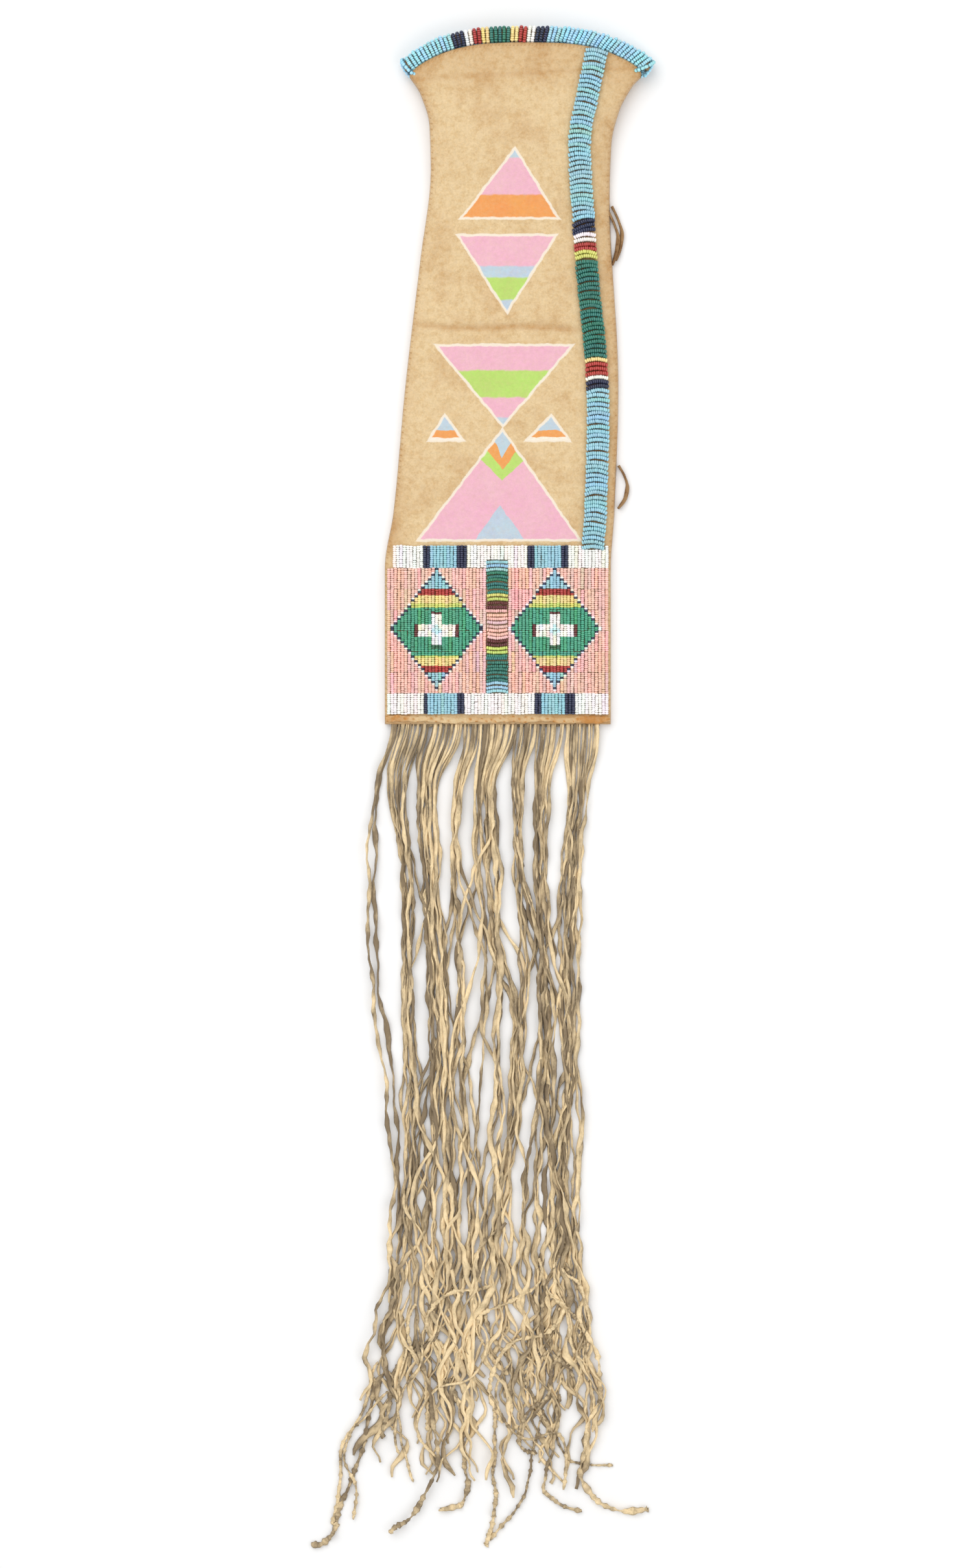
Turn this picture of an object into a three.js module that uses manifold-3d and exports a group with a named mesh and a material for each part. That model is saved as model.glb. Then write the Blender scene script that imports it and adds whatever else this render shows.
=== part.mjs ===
// A plains pipe bag, lying flat on its back with the mouth towards +Y.
// Two tanned hides are sewn edge to edge into a long flat bag with a flared mouth. The front carries painted
// triangles, a lane of beads that runs down from the mouth, and a beaded panel over the closed end. A roll of
// beads wraps the mouth, a long fringe cut from one strip of hide hangs from the bottom seam, and two thongs
// are looped through the side seam.
// Lengths are in millimetres. X runs across the bag, Y along it and Z up from the surface it lies on. While the
// bag is built, X = 0 is the middle of the beaded panel and Y = 0 is the panel's bottom edge.

import * as THREE from "three";
import { TessellateModifier } from "three/addons/modifiers/TessellateModifier.js";
import { mergeVertices } from "three/addons/utils/BufferGeometryUtils.js";
import Module from "manifold-3d";

const wasm = await Module();
wasm.setup();

// Driving dimensions

const hideThickness = 1.4;
const seamGap = 0.3; // between two pieces that are sewn or laid together
const beadSeat = 0.4; // between the hide and the beads stitched on it

const lipLength = 6; // bare hide below the beads, down to the bottom seam
const seamWidth = 143; // across the sewn bag at the beaded panel
const mouthCornerHeight = 409; // the mouth's ends
const mouthArch = 19.5; // how far its middle stands above its ends
const mouthLeft = -58.6;
const mouthRight = 95.5;
const waistHeight = 345; // where the left edge is narrowest
const waistLeft = -42.4;

const bagRise = 8; // front hide above the side seams
const panelRise = 6; // the same behind the stiff beaded panel
const lipRise = 3.4;
const mouthRise = 7;
const backDepth = 2.2; // back hide below the side seams
const lipDepth = 1.6;

const beadThickness = 1.8;
const panelPitch = 1.84; // from one bead string to the next in the panel
const panelMargin = 1.5; // bare hide between the panel's side and the seam
const borderHeight = 13.4; // the white lane at the panel's bottom
const fieldHeight = 79; // the pink field between the white lanes
const topBorderHeight = 14.2;
const topBorderInset = 3.6; // the top white lane starts this far in from the field's left end

const stripePitch = 2;
const stripeWidth = 14;

const rollThickness = 5.5; // through the hide
const rollHeight = 10; // along the hide

const fringeHeaderLength = 8;
const fringeLeftInset = 4.5; // from the bag's side seam to the fringe's end
const fringeRightInset = 7;
const fringeThickness = 1.2;
const stripWidth = 2.7;

const thongWidth = 2.6;
const thongThickness = 1.3;

// Colours

const colours = {
  hide: 0xe9cc9d,
  fringe: 0xc9ae82,
  thong: 0xd3ab74,
  paintPink: 0xfbbed0,
  paintOrange: 0xfbac62,
  paintGreen: 0xc6e97a,
  paintBlue: 0xcdd9e6,
  beadBlue: 0x94bdcb,
  beadNavy: 0x3b3f57,
  beadWhite: 0xf3efe8,
  beadRed: 0x9c4340,
  beadYellow: 0xdccf8c,
  beadGreen: 0x4d8072,
  beadJade: 0x5e9c85,
  beadPink: 0xeabbac,
};

const glassLike = new Set(Object.keys(colours).filter((name) => name.startsWith("bead")));

function finish(name) {
  const roughness = glassLike.has(name) ? 0.3 : 0.9;
  return new THREE.MeshStandardMaterial({ color: colours[name], roughness, metalness: 0 });
}

// The bag's outline and cross-section

// A smooth curve through [position, value] pairs that never overshoots them.
function through(pairs) {
  const slopes = pairs.slice(1).map(([p, v], i) => (v - pairs[i][1]) / (p - pairs[i][0]));
  const tangents = pairs.map((_, i) => {
    const [before, after] = [slopes[i - 1], slopes[i]];
    if (before === undefined || after === undefined || before * after <= 0) return 0;
    return (2 * before * after) / (before + after);
  });
  return (position) => {
    const last = pairs.length - 1;
    const at = THREE.MathUtils.clamp(position, pairs[0][0], pairs[last][0]);
    const i = Math.min(last - 1, pairs.findLastIndex(([p]) => p <= at));
    const [[p0, v0], [p1, v1]] = [pairs[i], pairs[i + 1]];
    const span = p1 - p0;
    const t = (at - p0) / span;
    const rise = v0 * (1 + 2 * t) + tangents[i] * span * t;
    const fall = v1 * (3 - 2 * t) + tangents[i + 1] * span * (t - 1);
    return rise * (1 - t) ** 2 + fall * t ** 2;
  };
}

const fieldTop = borderHeight + fieldHeight;
const panelTop = fieldTop + topBorderHeight;
const bagBottom = -lipLength;
const seamHalf = seamWidth / 2;

// Heights along the bag at a share of the way from the panel to the waist, and from the waist to the mouth's ends.
const onBody = (share) => THREE.MathUtils.lerp(panelTop, waistHeight, share);
const onNeck = (share) => THREE.MathUtils.lerp(waistHeight, mouthCornerHeight, share);

const leftEdge = through([
  [bagBottom, -seamHalf],
  [fieldTop, -seamHalf],
  [onBody(0.09), -66],
  [onBody(0.42), -58.6],
  [onBody(0.76), -49],
  [waistHeight, waistLeft],
  [onNeck(0.42), waistLeft - 0.8],
  [onNeck(0.73), -49],
  [mouthCornerHeight, mouthLeft],
]);
const rightEdge = through([
  [bagBottom, seamHalf],
  [fieldTop, seamHalf],
  [onBody(0.09), 73.8],
  [onBody(0.42), 76.3],
  [onBody(0.93), 70.8],
  [onNeck(0.23), 71.8],
  [onNeck(0.55), 76.5],
  [onNeck(0.8), 85],
  [mouthCornerHeight, mouthRight],
]);
const frontRise = through([
  [bagBottom, lipRise],
  [0, panelRise],
  [panelTop, panelRise],
  [onBody(0.42), bagRise],
  [waistHeight, bagRise],
  [mouthCornerHeight, mouthRise],
]);
const depthBelowSeam = through([
  [bagBottom, lipDepth],
  [0, backDepth],
  [onBody(0.85), backDepth],
  [mouthCornerHeight, mouthRise],
]);
// The roll round the mouth is thicker than the hide, so it lifts the back hide off the surface there.
const backLift = through([
  [onBody(0.85), 0],
  [mouthCornerHeight, (rollThickness - hideThickness) / 2],
]);
const frontFullness = through([
  [bagBottom, 8],
  [0, 2.6],
  [waistHeight, 2.6],
  [mouthCornerHeight, 4],
]);
const backFullness = through([
  [waistHeight, 8],
  [mouthCornerHeight, 4],
]);

const middle = (y) => (leftEdge(y) + rightEdge(y)) / 2;
const halfWidth = (y) => (rightEdge(y) - leftEdge(y)) / 2;
const seamHeight = (y) => backLift(y) + depthBelowSeam(y) + seamGap / 2;

// How high a superellipse of unit half axes stands at a share u of its half width.
const fullness = (u, power) => Math.max(0, 1 - Math.abs(u) ** power) ** (1 / power);

// The front hide's outer face over a point of the plan.
function frontTop(x, y) {
  const u = THREE.MathUtils.clamp((x - middle(y)) / halfWidth(y), -1, 1);
  return seamHeight(y) + seamGap / 2 + frontRise(y) * fullness(u, frontFullness(y));
}

// The roll's centreline along Y, at a share u of the mouth's half width.
const mouthHeight = (u) => mouthCornerHeight + mouthArch * (1 - Math.abs(u) ** 3);

// Where the hides end, under the roll's lower edge, which reaches further down where the mouth slopes.
function hideEnd(u) {
  const slope = (3 * mouthArch * u * u) / halfWidth(mouthCornerHeight);
  return mouthHeight(u) - (rollHeight / 2) * Math.hypot(1, slope) - 2 * seamGap;
}

// Solids

function toSolid(geometry) {
  const bare = geometry.clone();
  bare.deleteAttribute("normal");
  bare.deleteAttribute("uv");
  const merged = mergeVertices(bare, 1e-4);
  const vertProperties = merged.attributes.position.array;
  return new wasm.Manifold(new wasm.Mesh({ numProp: 3, vertProperties, triVerts: merged.index.array }));
}

function toGeometry(solid) {
  const { vertProperties, triVerts } = solid.getMesh();
  const geometry = new THREE.BufferGeometry();
  geometry.setAttribute("position", new THREE.BufferAttribute(new Float32Array(vertProperties), 3));
  geometry.setIndex(new THREE.BufferAttribute(new Uint32Array(triVerts), 1));
  return geometry;
}

// Moves every vertex of a geometry to where place puts it.
function shape(geometry, place) {
  const position = geometry.attributes.position;
  const point = new THREE.Vector3();
  for (let i = 0; i < position.count; i++) {
    point.fromBufferAttribute(position, i);
    place(point);
    position.setXYZ(i, point.x, point.y, point.z);
  }
  return geometry;
}

// Lifts a flat piece on to the front hide, a gap above it.
const drape = (geometry, gap) => shape(geometry, (p) => void (p.z += frontTop(p.x, p.y) + gap));

// A closed solid through rings of points, each ring the same length, with flat ends or joined end to end.
function loft(rings, closed = false) {
  const size = rings[0].length;
  const index = [];
  const spans = closed ? rings.length : rings.length - 1;
  for (let r = 0; r < spans; r++) {
    const [here, next] = [r * size, ((r + 1) % rings.length) * size];
    for (let i = 0; i < size; i++) {
      const j = (i + 1) % size;
      index.push(here + i, here + j, next + j, here + i, next + j, next + i);
    }
  }
  if (!closed) {
    const last = (rings.length - 1) * size;
    for (let i = 1; i < size - 1; i++) index.push(0, i + 1, i, last, last + i, last + i + 1);
  }
  const geometry = new THREE.BufferGeometry().setFromPoints(rings.flat());
  geometry.setIndex(index);
  return geometry;
}

// The wall between an outer and an inner sheet of points, rows by columns.
function wall(outer, inner) {
  const [rows, columns] = [outer.length, outer[0].length];
  const count = rows * columns;
  const index = [];
  const quad = (a, b, c, d) => index.push(a, b, c, a, c, d);
  const out = (r, c) => r * columns + c;
  const inn = (r, c) => count + r * columns + c;
  for (let r = 0; r < rows - 1; r++) {
    for (let c = 0; c < columns - 1; c++) {
      quad(out(r, c), out(r, c + 1), out(r + 1, c + 1), out(r + 1, c));
      quad(inn(r, c), inn(r + 1, c), inn(r + 1, c + 1), inn(r, c + 1));
    }
    quad(out(r, 0), out(r + 1, 0), inn(r + 1, 0), inn(r, 0));
    const end = columns - 1;
    quad(out(r, end), inn(r, end), inn(r + 1, end), out(r + 1, end));
  }
  for (let c = 0; c < columns - 1; c++) {
    const end = rows - 1;
    quad(out(0, c), inn(0, c), inn(0, c + 1), out(0, c + 1));
    quad(out(end, c), out(end, c + 1), inn(end, c + 1), inn(end, c));
  }
  const geometry = new THREE.BufferGeometry().setFromPoints([...outer.flat(), ...inner.flat()]);
  geometry.setIndex(index);
  return geometry;
}

// A flat shape of the plan, raised to a thickness.
function slab(points, thickness, bottom = 0) {
  const outline = new THREE.Shape(points.map(([x, y]) => new THREE.Vector2(x, y)));
  const geometry = new THREE.ExtrudeGeometry(outline, { depth: thickness, bevelEnabled: false });
  return geometry.translate(0, 0, bottom);
}

const bag = new THREE.Group();

function add(name, geometry, colour) {
  const mesh = new THREE.Mesh(geometry, finish(colour));
  mesh.name = name;
  bag.add(mesh);
}

// The two hides

const acrossSteps = 12;
const shares = (steps) => Array.from({ length: steps }, (_, i) => i / steps);
const bodyRows = [0, 0.1, 0.26, 0.42, 0.6, 0.75, 0.85, 0.9, 0.95];
const hideRows = [bagBottom, bagBottom / 2, 0, fieldTop, ...bodyRows.map(onBody), ...shares(8).map(onNeck)];

// One hide from seam to seam: side is 1 for the front and -1 for the back.
function hideSheet(side, shrink) {
  const rise = side > 0 ? frontRise : depthBelowSeam;
  const power = side > 0 ? frontFullness : backFullness;
  const last = hideRows.length;
  return [...hideRows, mouthCornerHeight].map((rowHeight, row) => {
    const points = [];
    for (let i = 0; i <= acrossSteps; i++) {
      const u = -Math.cos((Math.PI * i) / acrossSteps);
      // Above the waist the rows bend into the mouth's arch, and the last row is the mouth's edge.
      const bend = THREE.MathUtils.smoothstep(rowHeight, onBody(0.87), mouthCornerHeight);
      const arch = mouthHeight(u) - mouthCornerHeight;
      const y = row === last ? hideEnd(u) : rowHeight + arch * bend;
      const x = middle(y) + u * (halfWidth(y) - shrink);
      const height = Math.max(0, rise(y) - shrink) * fullness(u, power(y));
      points.push(new THREE.Vector3(x, y, seamHeight(y) + side * (seamGap / 2 + height)));
    }
    return points;
  });
}

function hide(side) {
  const [outer, inner] = [hideSheet(side, 0), hideSheet(side, hideThickness)];
  return side > 0 ? wall(outer, inner) : wall(inner, outer);
}

add("front_hide", hide(1), "hide");
add("back_hide", hide(-1), "hide");

// Painted figures on the front hide, each band of colour a thin coat

const coatThickness = 0.35;
const coatStep = 20; // longest edge, so that a coat follows the hide
const tessellate = new TessellateModifier(coatStep, 12);

function coat(name, points, colour) {
  const flat = tessellate.modify(slab(points, coatThickness));
  add(name, drape(mergeVertices(flat), beadSeat), colour);
}

// A triangle with its apex and a level base: bands runs from the apex, as [name, share of the height, colour].
function bandedTriangle(figure, apex, base, bands) {
  const [left, right, level] = base;
  const at = (share, end) => [
    THREE.MathUtils.lerp(apex[0], end, share),
    THREE.MathUtils.lerp(apex[1], level, share),
  ];
  const halfGap = seamGap / 2 / Math.abs(apex[1] - level);
  let from = 0;
  for (const [band, to, colour] of bands) {
    const [top, bottom] = [from && from + halfGap, to - (to < 1 ? halfGap : 0)];
    const points = [at(bottom, left), at(bottom, right)];
    points.push(...(top ? [at(top, right), at(top, left)] : [apex]));
    if (apex[1] < level) points.reverse();
    coat(`${figure}_${band}`, points, colour);
    from = to;
  }
}

// The figures stand one above another from the panel up, each at its clearance from the one below.
const largeBase = panelTop + 3.8;
const largeHeight = 68.6;
const thirdApex = largeBase + largeHeight + 3.4;
const thirdHeight = 50.2;
const secondApex = thirdApex + thirdHeight + 21.4;
const secondHeight = 48;
const firstBase = secondApex + secondHeight + 11.4;
const firstHeight = 42.6;
const smallBase = largeBase + 62.8;
const smallHeight = 15;

bandedTriangle("paint_first_triangle", [10.9, firstBase + firstHeight], [-22.6, 37.7, firstBase], [
  ["pink", 0.66, "paintPink"],
  ["orange", 1, "paintOrange"],
]);
bandedTriangle("paint_second_triangle", [5.7, secondApex], [-24.6, 36.2, secondApex + secondHeight], [
  ["green", 0.47, "paintGreen"],
  ["blue", 0.63, "paintBlue"],
  ["pink", 1, "paintPink"],
]);
bandedTriangle("paint_third_triangle", [3.2, thirdApex], [-38.4, 46.2, thirdApex + thirdHeight], [
  ["lower_pink", 0.4, "paintPink"],
  ["green", 0.72, "paintGreen"],
  ["upper_pink", 1, "paintPink"],
]);
bandedTriangle("paint_small_left_triangle", [-33.4, smallBase + smallHeight], [-43, -22.4, smallBase], [
  ["blue", 1, "paintBlue"],
]);
bandedTriangle("paint_small_right_triangle", [33.6, smallBase + smallHeight], [19, 44.6, smallBase], [
  ["blue", 1, "paintBlue"],
]);

// The large triangle: a diamond and two chevrons nest under its apex, and a small triangle stands on its base.
const largeTriangle = { apex: [3, largeBase + largeHeight], left: -49.6, right: 51.2, level: largeBase };

// The point of the large triangle's side at a height.
function largeSide(end, y) {
  const { apex, level } = largeTriangle;
  return THREE.MathUtils.lerp(apex[0], largeTriangle[end], (apex[1] - y) / (apex[1] - level));
}

// A chevron across the large triangle, from where its arms meet the sides to where they meet in the middle.
function chevron(armTop, armBottom, pointTop, pointBottom) {
  const x = largeTriangle.apex[0];
  const corner = (end, y) => [largeSide(end, y), y];
  return [
    corner("left", armBottom), [x, pointBottom], corner("right", armBottom),
    corner("right", armTop), [x, pointTop], corner("left", armTop),
  ];
}

const largeApex = largeTriangle.apex;
const [diamondSide, diamondPoint] = [largeApex[1] - 7, largeApex[1] - 17];
const [orangeArm, orangePoint] = [largeApex[1] - 12.5, largeApex[1] - 24.5];
const [greenArm, greenPoint] = [largeApex[1] - 18.5, largeApex[1] - 31.5];
coat("paint_large_blue_diamond", [
  [largeSide("left", diamondSide), diamondSide], [largeApex[0], diamondPoint],
  [largeSide("right", diamondSide), diamondSide], largeApex,
], "paintBlue");
coat("paint_large_orange_chevron", chevron(
  diamondSide - seamGap, orangeArm, diamondPoint - seamGap, orangePoint,
), "paintOrange");
coat("paint_large_green_chevron", chevron(
  orangeArm - seamGap, greenArm, orangePoint - seamGap, greenPoint,
), "paintGreen");
const baseTriangle = { left: -16, right: 16, top: largeBase + 21.6 };
coat("paint_large_pink", [
  [largeTriangle.left, largeTriangle.level], [baseTriangle.left - seamGap, largeTriangle.level],
  [largeApex[0], baseTriangle.top + seamGap], [baseTriangle.right + seamGap, largeTriangle.level],
  [largeTriangle.right, largeTriangle.level],
  [largeSide("right", greenArm - seamGap), greenArm - seamGap], [largeApex[0], greenPoint - seamGap],
  [largeSide("left", greenArm - seamGap), greenArm - seamGap],
], "paintPink");
coat("paint_large_base_blue", [
  [baseTriangle.left, largeTriangle.level], [baseTriangle.right, largeTriangle.level],
  [largeApex[0], baseTriangle.top],
], "paintBlue");

// Beadwork stitched in lanes: every string of beads is a ridge

const valley = 0.5; // a ridge's foot, as a share of the beads' thickness
const footStep = 5; // strings between two points of a sheet's underside

// A flat sheet of strings side by side, which run along Y from low to high. It starts at x = start. Its ends are
// filled group by group, so that the sheet can bend along X afterwards.
function strings(start, count, pitch, low, high) {
  const points = [];
  const index = [];
  const addPair = (x, z) => points.push(new THREE.Vector3(x, low, z), new THREE.Vector3(x, high, z)) / 2 - 1;
  const quad = (a, b, c, d) => index.push(a, b, c, a, c, d);
  const crests = [];
  for (let k = 0; k <= 2 * count; k++) {
    crests.push(2 * addPair(start + (k * pitch) / 2, k % 2 ? beadThickness : beadThickness * valley));
  }
  const feet = [];
  for (let i = 0; i < count; i += footStep) feet.push(i);
  feet.push(count);
  const soles = feet.map((i) => 2 * addPair(start + i * pitch, 0));
  for (let k = 0; k < 2 * count; k++) quad(crests[k], crests[k + 1], crests[k + 1] + 1, crests[k] + 1);
  for (let f = 0; f < feet.length - 1; f++) {
    const [a, b] = [soles[f], soles[f + 1]];
    quad(a, a + 1, b + 1, b);
    const middle = feet[f] + feet[f + 1];
    index.push(a, b, crests[middle], a + 1, crests[middle] + 1, b + 1);
    for (let k = 2 * feet[f]; k < 2 * feet[f + 1]; k++) {
      const foot = k < middle ? a : b;
      index.push(foot, crests[k + 1], crests[k], foot + 1, crests[k] + 1, crests[k + 1] + 1);
    }
  }
  const last = soles[soles.length - 1];
  quad(soles[0], crests[0], crests[0] + 1, soles[0] + 1);
  quad(last, last + 1, crests[2 * count] + 1, crests[2 * count]);
  return new THREE.BufferGeometry().setFromPoints(points).setIndex(index);
}

// Fields of strings in one lane, as [name, share of the lane, colour], with a gap between neighbours.
function lane(fields, start, end, total, low, high, place) {
  const whole = fields.reduce((sum, [, share]) => sum + share, 0);
  const pitch = (end - start) / total;
  let [taken, used] = [0, 0];
  for (const [name, share, colour] of fields) {
    taken += share;
    const upTo = Math.round((total * taken) / whole);
    const count = upTo - used;
    const width = count * pitch - seamGap;
    add(name, place(strings(start + used * pitch + seamGap / 2, count, width / count, low, high)), colour);
    used = upTo;
  }
}

const onHide = (geometry) => drape(geometry, beadSeat);
const panelStrings = Math.floor((seamWidth - 2 * panelMargin) / panelPitch);
const panelRight = (panelStrings * panelPitch) / 2;
const panelLeft = -panelRight;

lane([
  ["border_bottom_white_left", 13, "beadWhite"],
  ["border_bottom_blue_left", 14, "beadBlue"],
  ["border_bottom_white_middle", 24, "beadWhite"],
  ["border_bottom_blue_right", 14, "beadBlue"],
  ["border_bottom_white_right", 11, "beadWhite"],
], panelLeft, panelRight, panelStrings, seamGap, borderHeight - seamGap / 2, onHide);

lane([
  ["border_top_white_left", 11, "beadWhite"],
  ["border_top_blue_left", 15, "beadBlue"],
  ["border_top_white_middle", 22, "beadWhite"],
  ["border_top_blue_right", 15, "beadBlue"],
  ["border_top_white_right", 11, "beadWhite"],
], panelLeft + topBorderInset, panelRight, panelStrings - 2, fieldTop + seamGap / 2, panelTop, onHide);

// The pink field, with a lane of level strings up its middle and a diamond in each half

const centreLaneWidth = 14.4;
const centreLaneMiddle = -0.4;
const diamondPlace = 0.48; // of a half field's width, from the middle lane to the diamond's centre
const diamond = {
  halfWidth: 0.45 * (panelRight - centreLaneWidth / 2),
  halfHeight: fieldHeight / 2 - 2.8,
  level: borderHeight + fieldHeight / 2 + 1,
};
const greenHalf = 0.42 * diamond.halfHeight; // the diamond's green band
const cross = { reach: 13.2, height: 9.4, bar: 3.4, post: 4.2 };

const cutter = (points) => toSolid(slab(points, 3 * (bagRise + backDepth)));
const block = (left, right, low, high) => cutter([[left, low], [right, low], [right, high], [left, high]]);
const fieldLow = borderHeight + seamGap / 2;
const fieldHigh = fieldTop - seamGap / 2;

// Whole strings from left to right, between the two white lanes.
function fieldStrings(left, right) {
  const count = Math.round((right - left) / panelPitch);
  return toSolid(onHide(strings(left, count, (right - left) / count, fieldLow, fieldHigh)));
}

function diamondOutline(x, grow = 0) {
  const [w, h] = [diamond.halfWidth + grow, diamond.halfHeight + grow];
  const y = diamond.level;
  return [[x, y - h], [x + w, y], [x, y + h], [x - w, y]];
}

function crossCutter(x, grow = 0) {
  const y = diamond.level;
  const bar = block(x - cross.reach - grow, x + cross.reach + grow, y - cross.bar - grow, y + cross.bar + grow);
  const post = block(x - cross.post - grow, x + cross.post + grow, y - cross.height - grow, y + cross.height + grow);
  return bar.add(post);
}

// A level band across a diamond, as wide as the field.
const band = (low, high) => block(2 * panelLeft, 2 * panelRight, diamond.level + low, diamond.level + high);

for (const [side, outer] of [["left", panelLeft], ["right", panelRight]]) {
  const inner = centreLaneMiddle + Math.sign(outer) * (centreLaneWidth / 2 + seamGap);
  const x = THREE.MathUtils.lerp(inner, outer, diamondPlace);
  const ground = fieldStrings(Math.min(inner, outer), Math.max(inner, outer));
  const figure = ground.intersect(cutter(diamondOutline(x)));
  const field = ground.subtract(cutter(diamondOutline(x, seamGap * 1.4)));
  add(`field_pink_${side}`, toGeometry(field), "beadPink");
  const green = figure.intersect(band(-greenHalf, greenHalf)).subtract(crossCutter(x, seamGap));
  add(`diamond_${side}_green`, toGeometry(green), "beadJade");
  add(`diamond_${side}_cross`, toGeometry(figure.intersect(crossCutter(x))), "beadWhite");
  for (const [end, sign] of [["top", 1], ["bottom", -1]]) {
    const between = (near, far) => band(...[sign * near, sign * far].sort((a, b) => a - b));
    const yellow = figure.intersect(between(greenHalf + seamGap, diamond.halfHeight));
    add(`diamond_${side}_${end}`, toGeometry(yellow), "beadYellow");
  }
}

// A lane whose strings lie across it, laid along Y from low upwards. centre gives its middle at a height.
function upright(centre) {
  return (geometry) => onHide(shape(geometry, (p) => void p.set(centre(p.x) - p.y, p.x, p.z)));
}

lane([
  ["centre_lane_lower_green", 18, "beadGreen"],
  ["centre_lane_pink", 12, "beadPink"],
  ["centre_lane_upper_green", 14, "beadGreen"],
], borderHeight, fieldTop, Math.round(fieldHeight / panelPitch), -centreLaneWidth / 2, centreLaneWidth / 2,
  upright(() => centreLaneMiddle));

// The stripe from the panel to the mouth

// How far its middle stands in from the right side seam, by the share of the way up to the mouth's end.
const stripeInset = through([
  [0, 12.2],
  [0.24, 12.7],
  [0.52, 16],
  [0.68, 17.3],
  [0.79, 19.9],
  [0.89, 22.5],
  [0.95, 26.1],
  [1, 31.5],
]);
const stripeBottom = panelTop + seamGap;
const stripeTop = hideEnd(0.57) - 1;

function stripeCentre(y) {
  const share = (y - stripeBottom) / (stripeTop - stripeBottom);
  return rightEdge(y) - stripeInset(share);
}

lane([
  ["stripe_lower_blue", 49, "beadBlue"],
  ["stripe_lower_navy", 3, "beadNavy"],
  ["stripe_lower_white", 2, "beadWhite"],
  ["stripe_lower_red", 4, "beadRed"],
  ["stripe_green", 35, "beadGreen"],
  ["stripe_upper_red", 3, "beadRed"],
  ["stripe_upper_white", 2, "beadWhite"],
  ["stripe_upper_navy", 4, "beadNavy"],
  ["stripe_upper_blue", 53, "beadBlue"],
], stripeBottom, stripeTop, Math.round((stripeTop - stripeBottom) / stripePitch), -stripeWidth / 2, stripeWidth / 2,
  upright(stripeCentre));

// The roll of beads round the mouth

const rollPattern = [
  ["navy_left", 4, "beadNavy"],
  ["white_left", 2, "beadWhite"],
  ["red_left", 4, "beadRed"],
  ["green", 12, "beadGreen"],
  ["red_right", 3, "beadRed"],
  ["white_right", 2, "beadWhite"],
  ["navy_right", 4, "beadNavy"],
];
const rollPitch = 2;
const patternStart = -28.6; // X of the pattern's left end
const blueRidgeStrings = 3; // in the plain blue run one ridge stands for this many strings

// The roll's centreline: along the front from left to right, then back underneath.
function rollLine() {
  const y = mouthCornerHeight;
  const [centre, half] = [middle(y), halfWidth(y)];
  const inset = hideThickness / 2;
  const points = [];
  const steps = 64;
  for (let i = 0; i < steps; i++) {
    const angle = Math.PI - (2 * Math.PI * i) / steps;
    const [c, s] = [Math.cos(angle), Math.sin(angle)];
    const u = Math.sign(c) * Math.abs(c) ** 0.6;
    const w = Math.sign(s) * Math.abs(s) ** 0.5;
    const z = seamHeight(y) + w * (mouthRise - inset);
    points.push(new THREE.Vector3(centre + u * (half - inset), mouthHeight(u), z));
  }
  return new THREE.CatmullRomCurve3(points, true);
}

const rollCurve = rollLine();
const rollLength = rollCurve.getLength();

// The five corners of the roll's section at a distance along its centreline, drawn in by a share.
function rollRing(distance, share) {
  const t = (((distance / rollLength) % 1) + 1) % 1;
  const centre = rollCurve.getPointAt(t);
  const along = rollCurve.getTangentAt(t);
  const out = along.clone().cross(new THREE.Vector3(0, 1, 0)).normalize();
  const up = new THREE.Vector3().crossVectors(out, along).normalize();
  const [a, b] = [(rollThickness / 2) * share, (rollHeight / 2) * share];
  const section = [[0, b], [a, b / 2], [a, -b / 2], [0, -rollHeight / 2], [-a, 0]];
  return section.map(([n, m]) => centre.clone().addScaledVector(out, n).addScaledVector(up, m));
}

function rollField(from, to, ridges) {
  const [start, end] = [from + seamGap / 2, to - seamGap / 2];
  const rings = [];
  for (let i = 0; i <= 2 * ridges; i++) {
    const distance = THREE.MathUtils.lerp(start, end, i / (2 * ridges));
    rings.push(rollRing(distance, i % 2 ? 1 : 0.84));
  }
  return loft(rings);
}

// The distance along the front at which the roll reaches an X.
function rollDistance(x) {
  let [low, high] = [0, rollLength / 2];
  for (let i = 0; i < 40; i++) {
    const half = (low + high) / 2;
    if (rollCurve.getPointAt(half / rollLength).x < x) low = half;
    else high = half;
  }
  return low;
}

let rollAt = rollDistance(patternStart);
const patternFrom = rollAt;
for (const [name, count, colour] of rollPattern) {
  add(`rim_${name}`, rollField(rollAt, rollAt + count * rollPitch, count), colour);
  rollAt += count * rollPitch;
}
const blueEnd = patternFrom + rollLength;
const blueRidges = Math.round((blueEnd - rollAt) / (rollPitch * blueRidgeStrings));
add("rim_blue", rollField(rollAt, blueEnd, blueRidges), "beadBlue");

// The fringe: one strip of hide, cut into narrow strips up to its header

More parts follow.
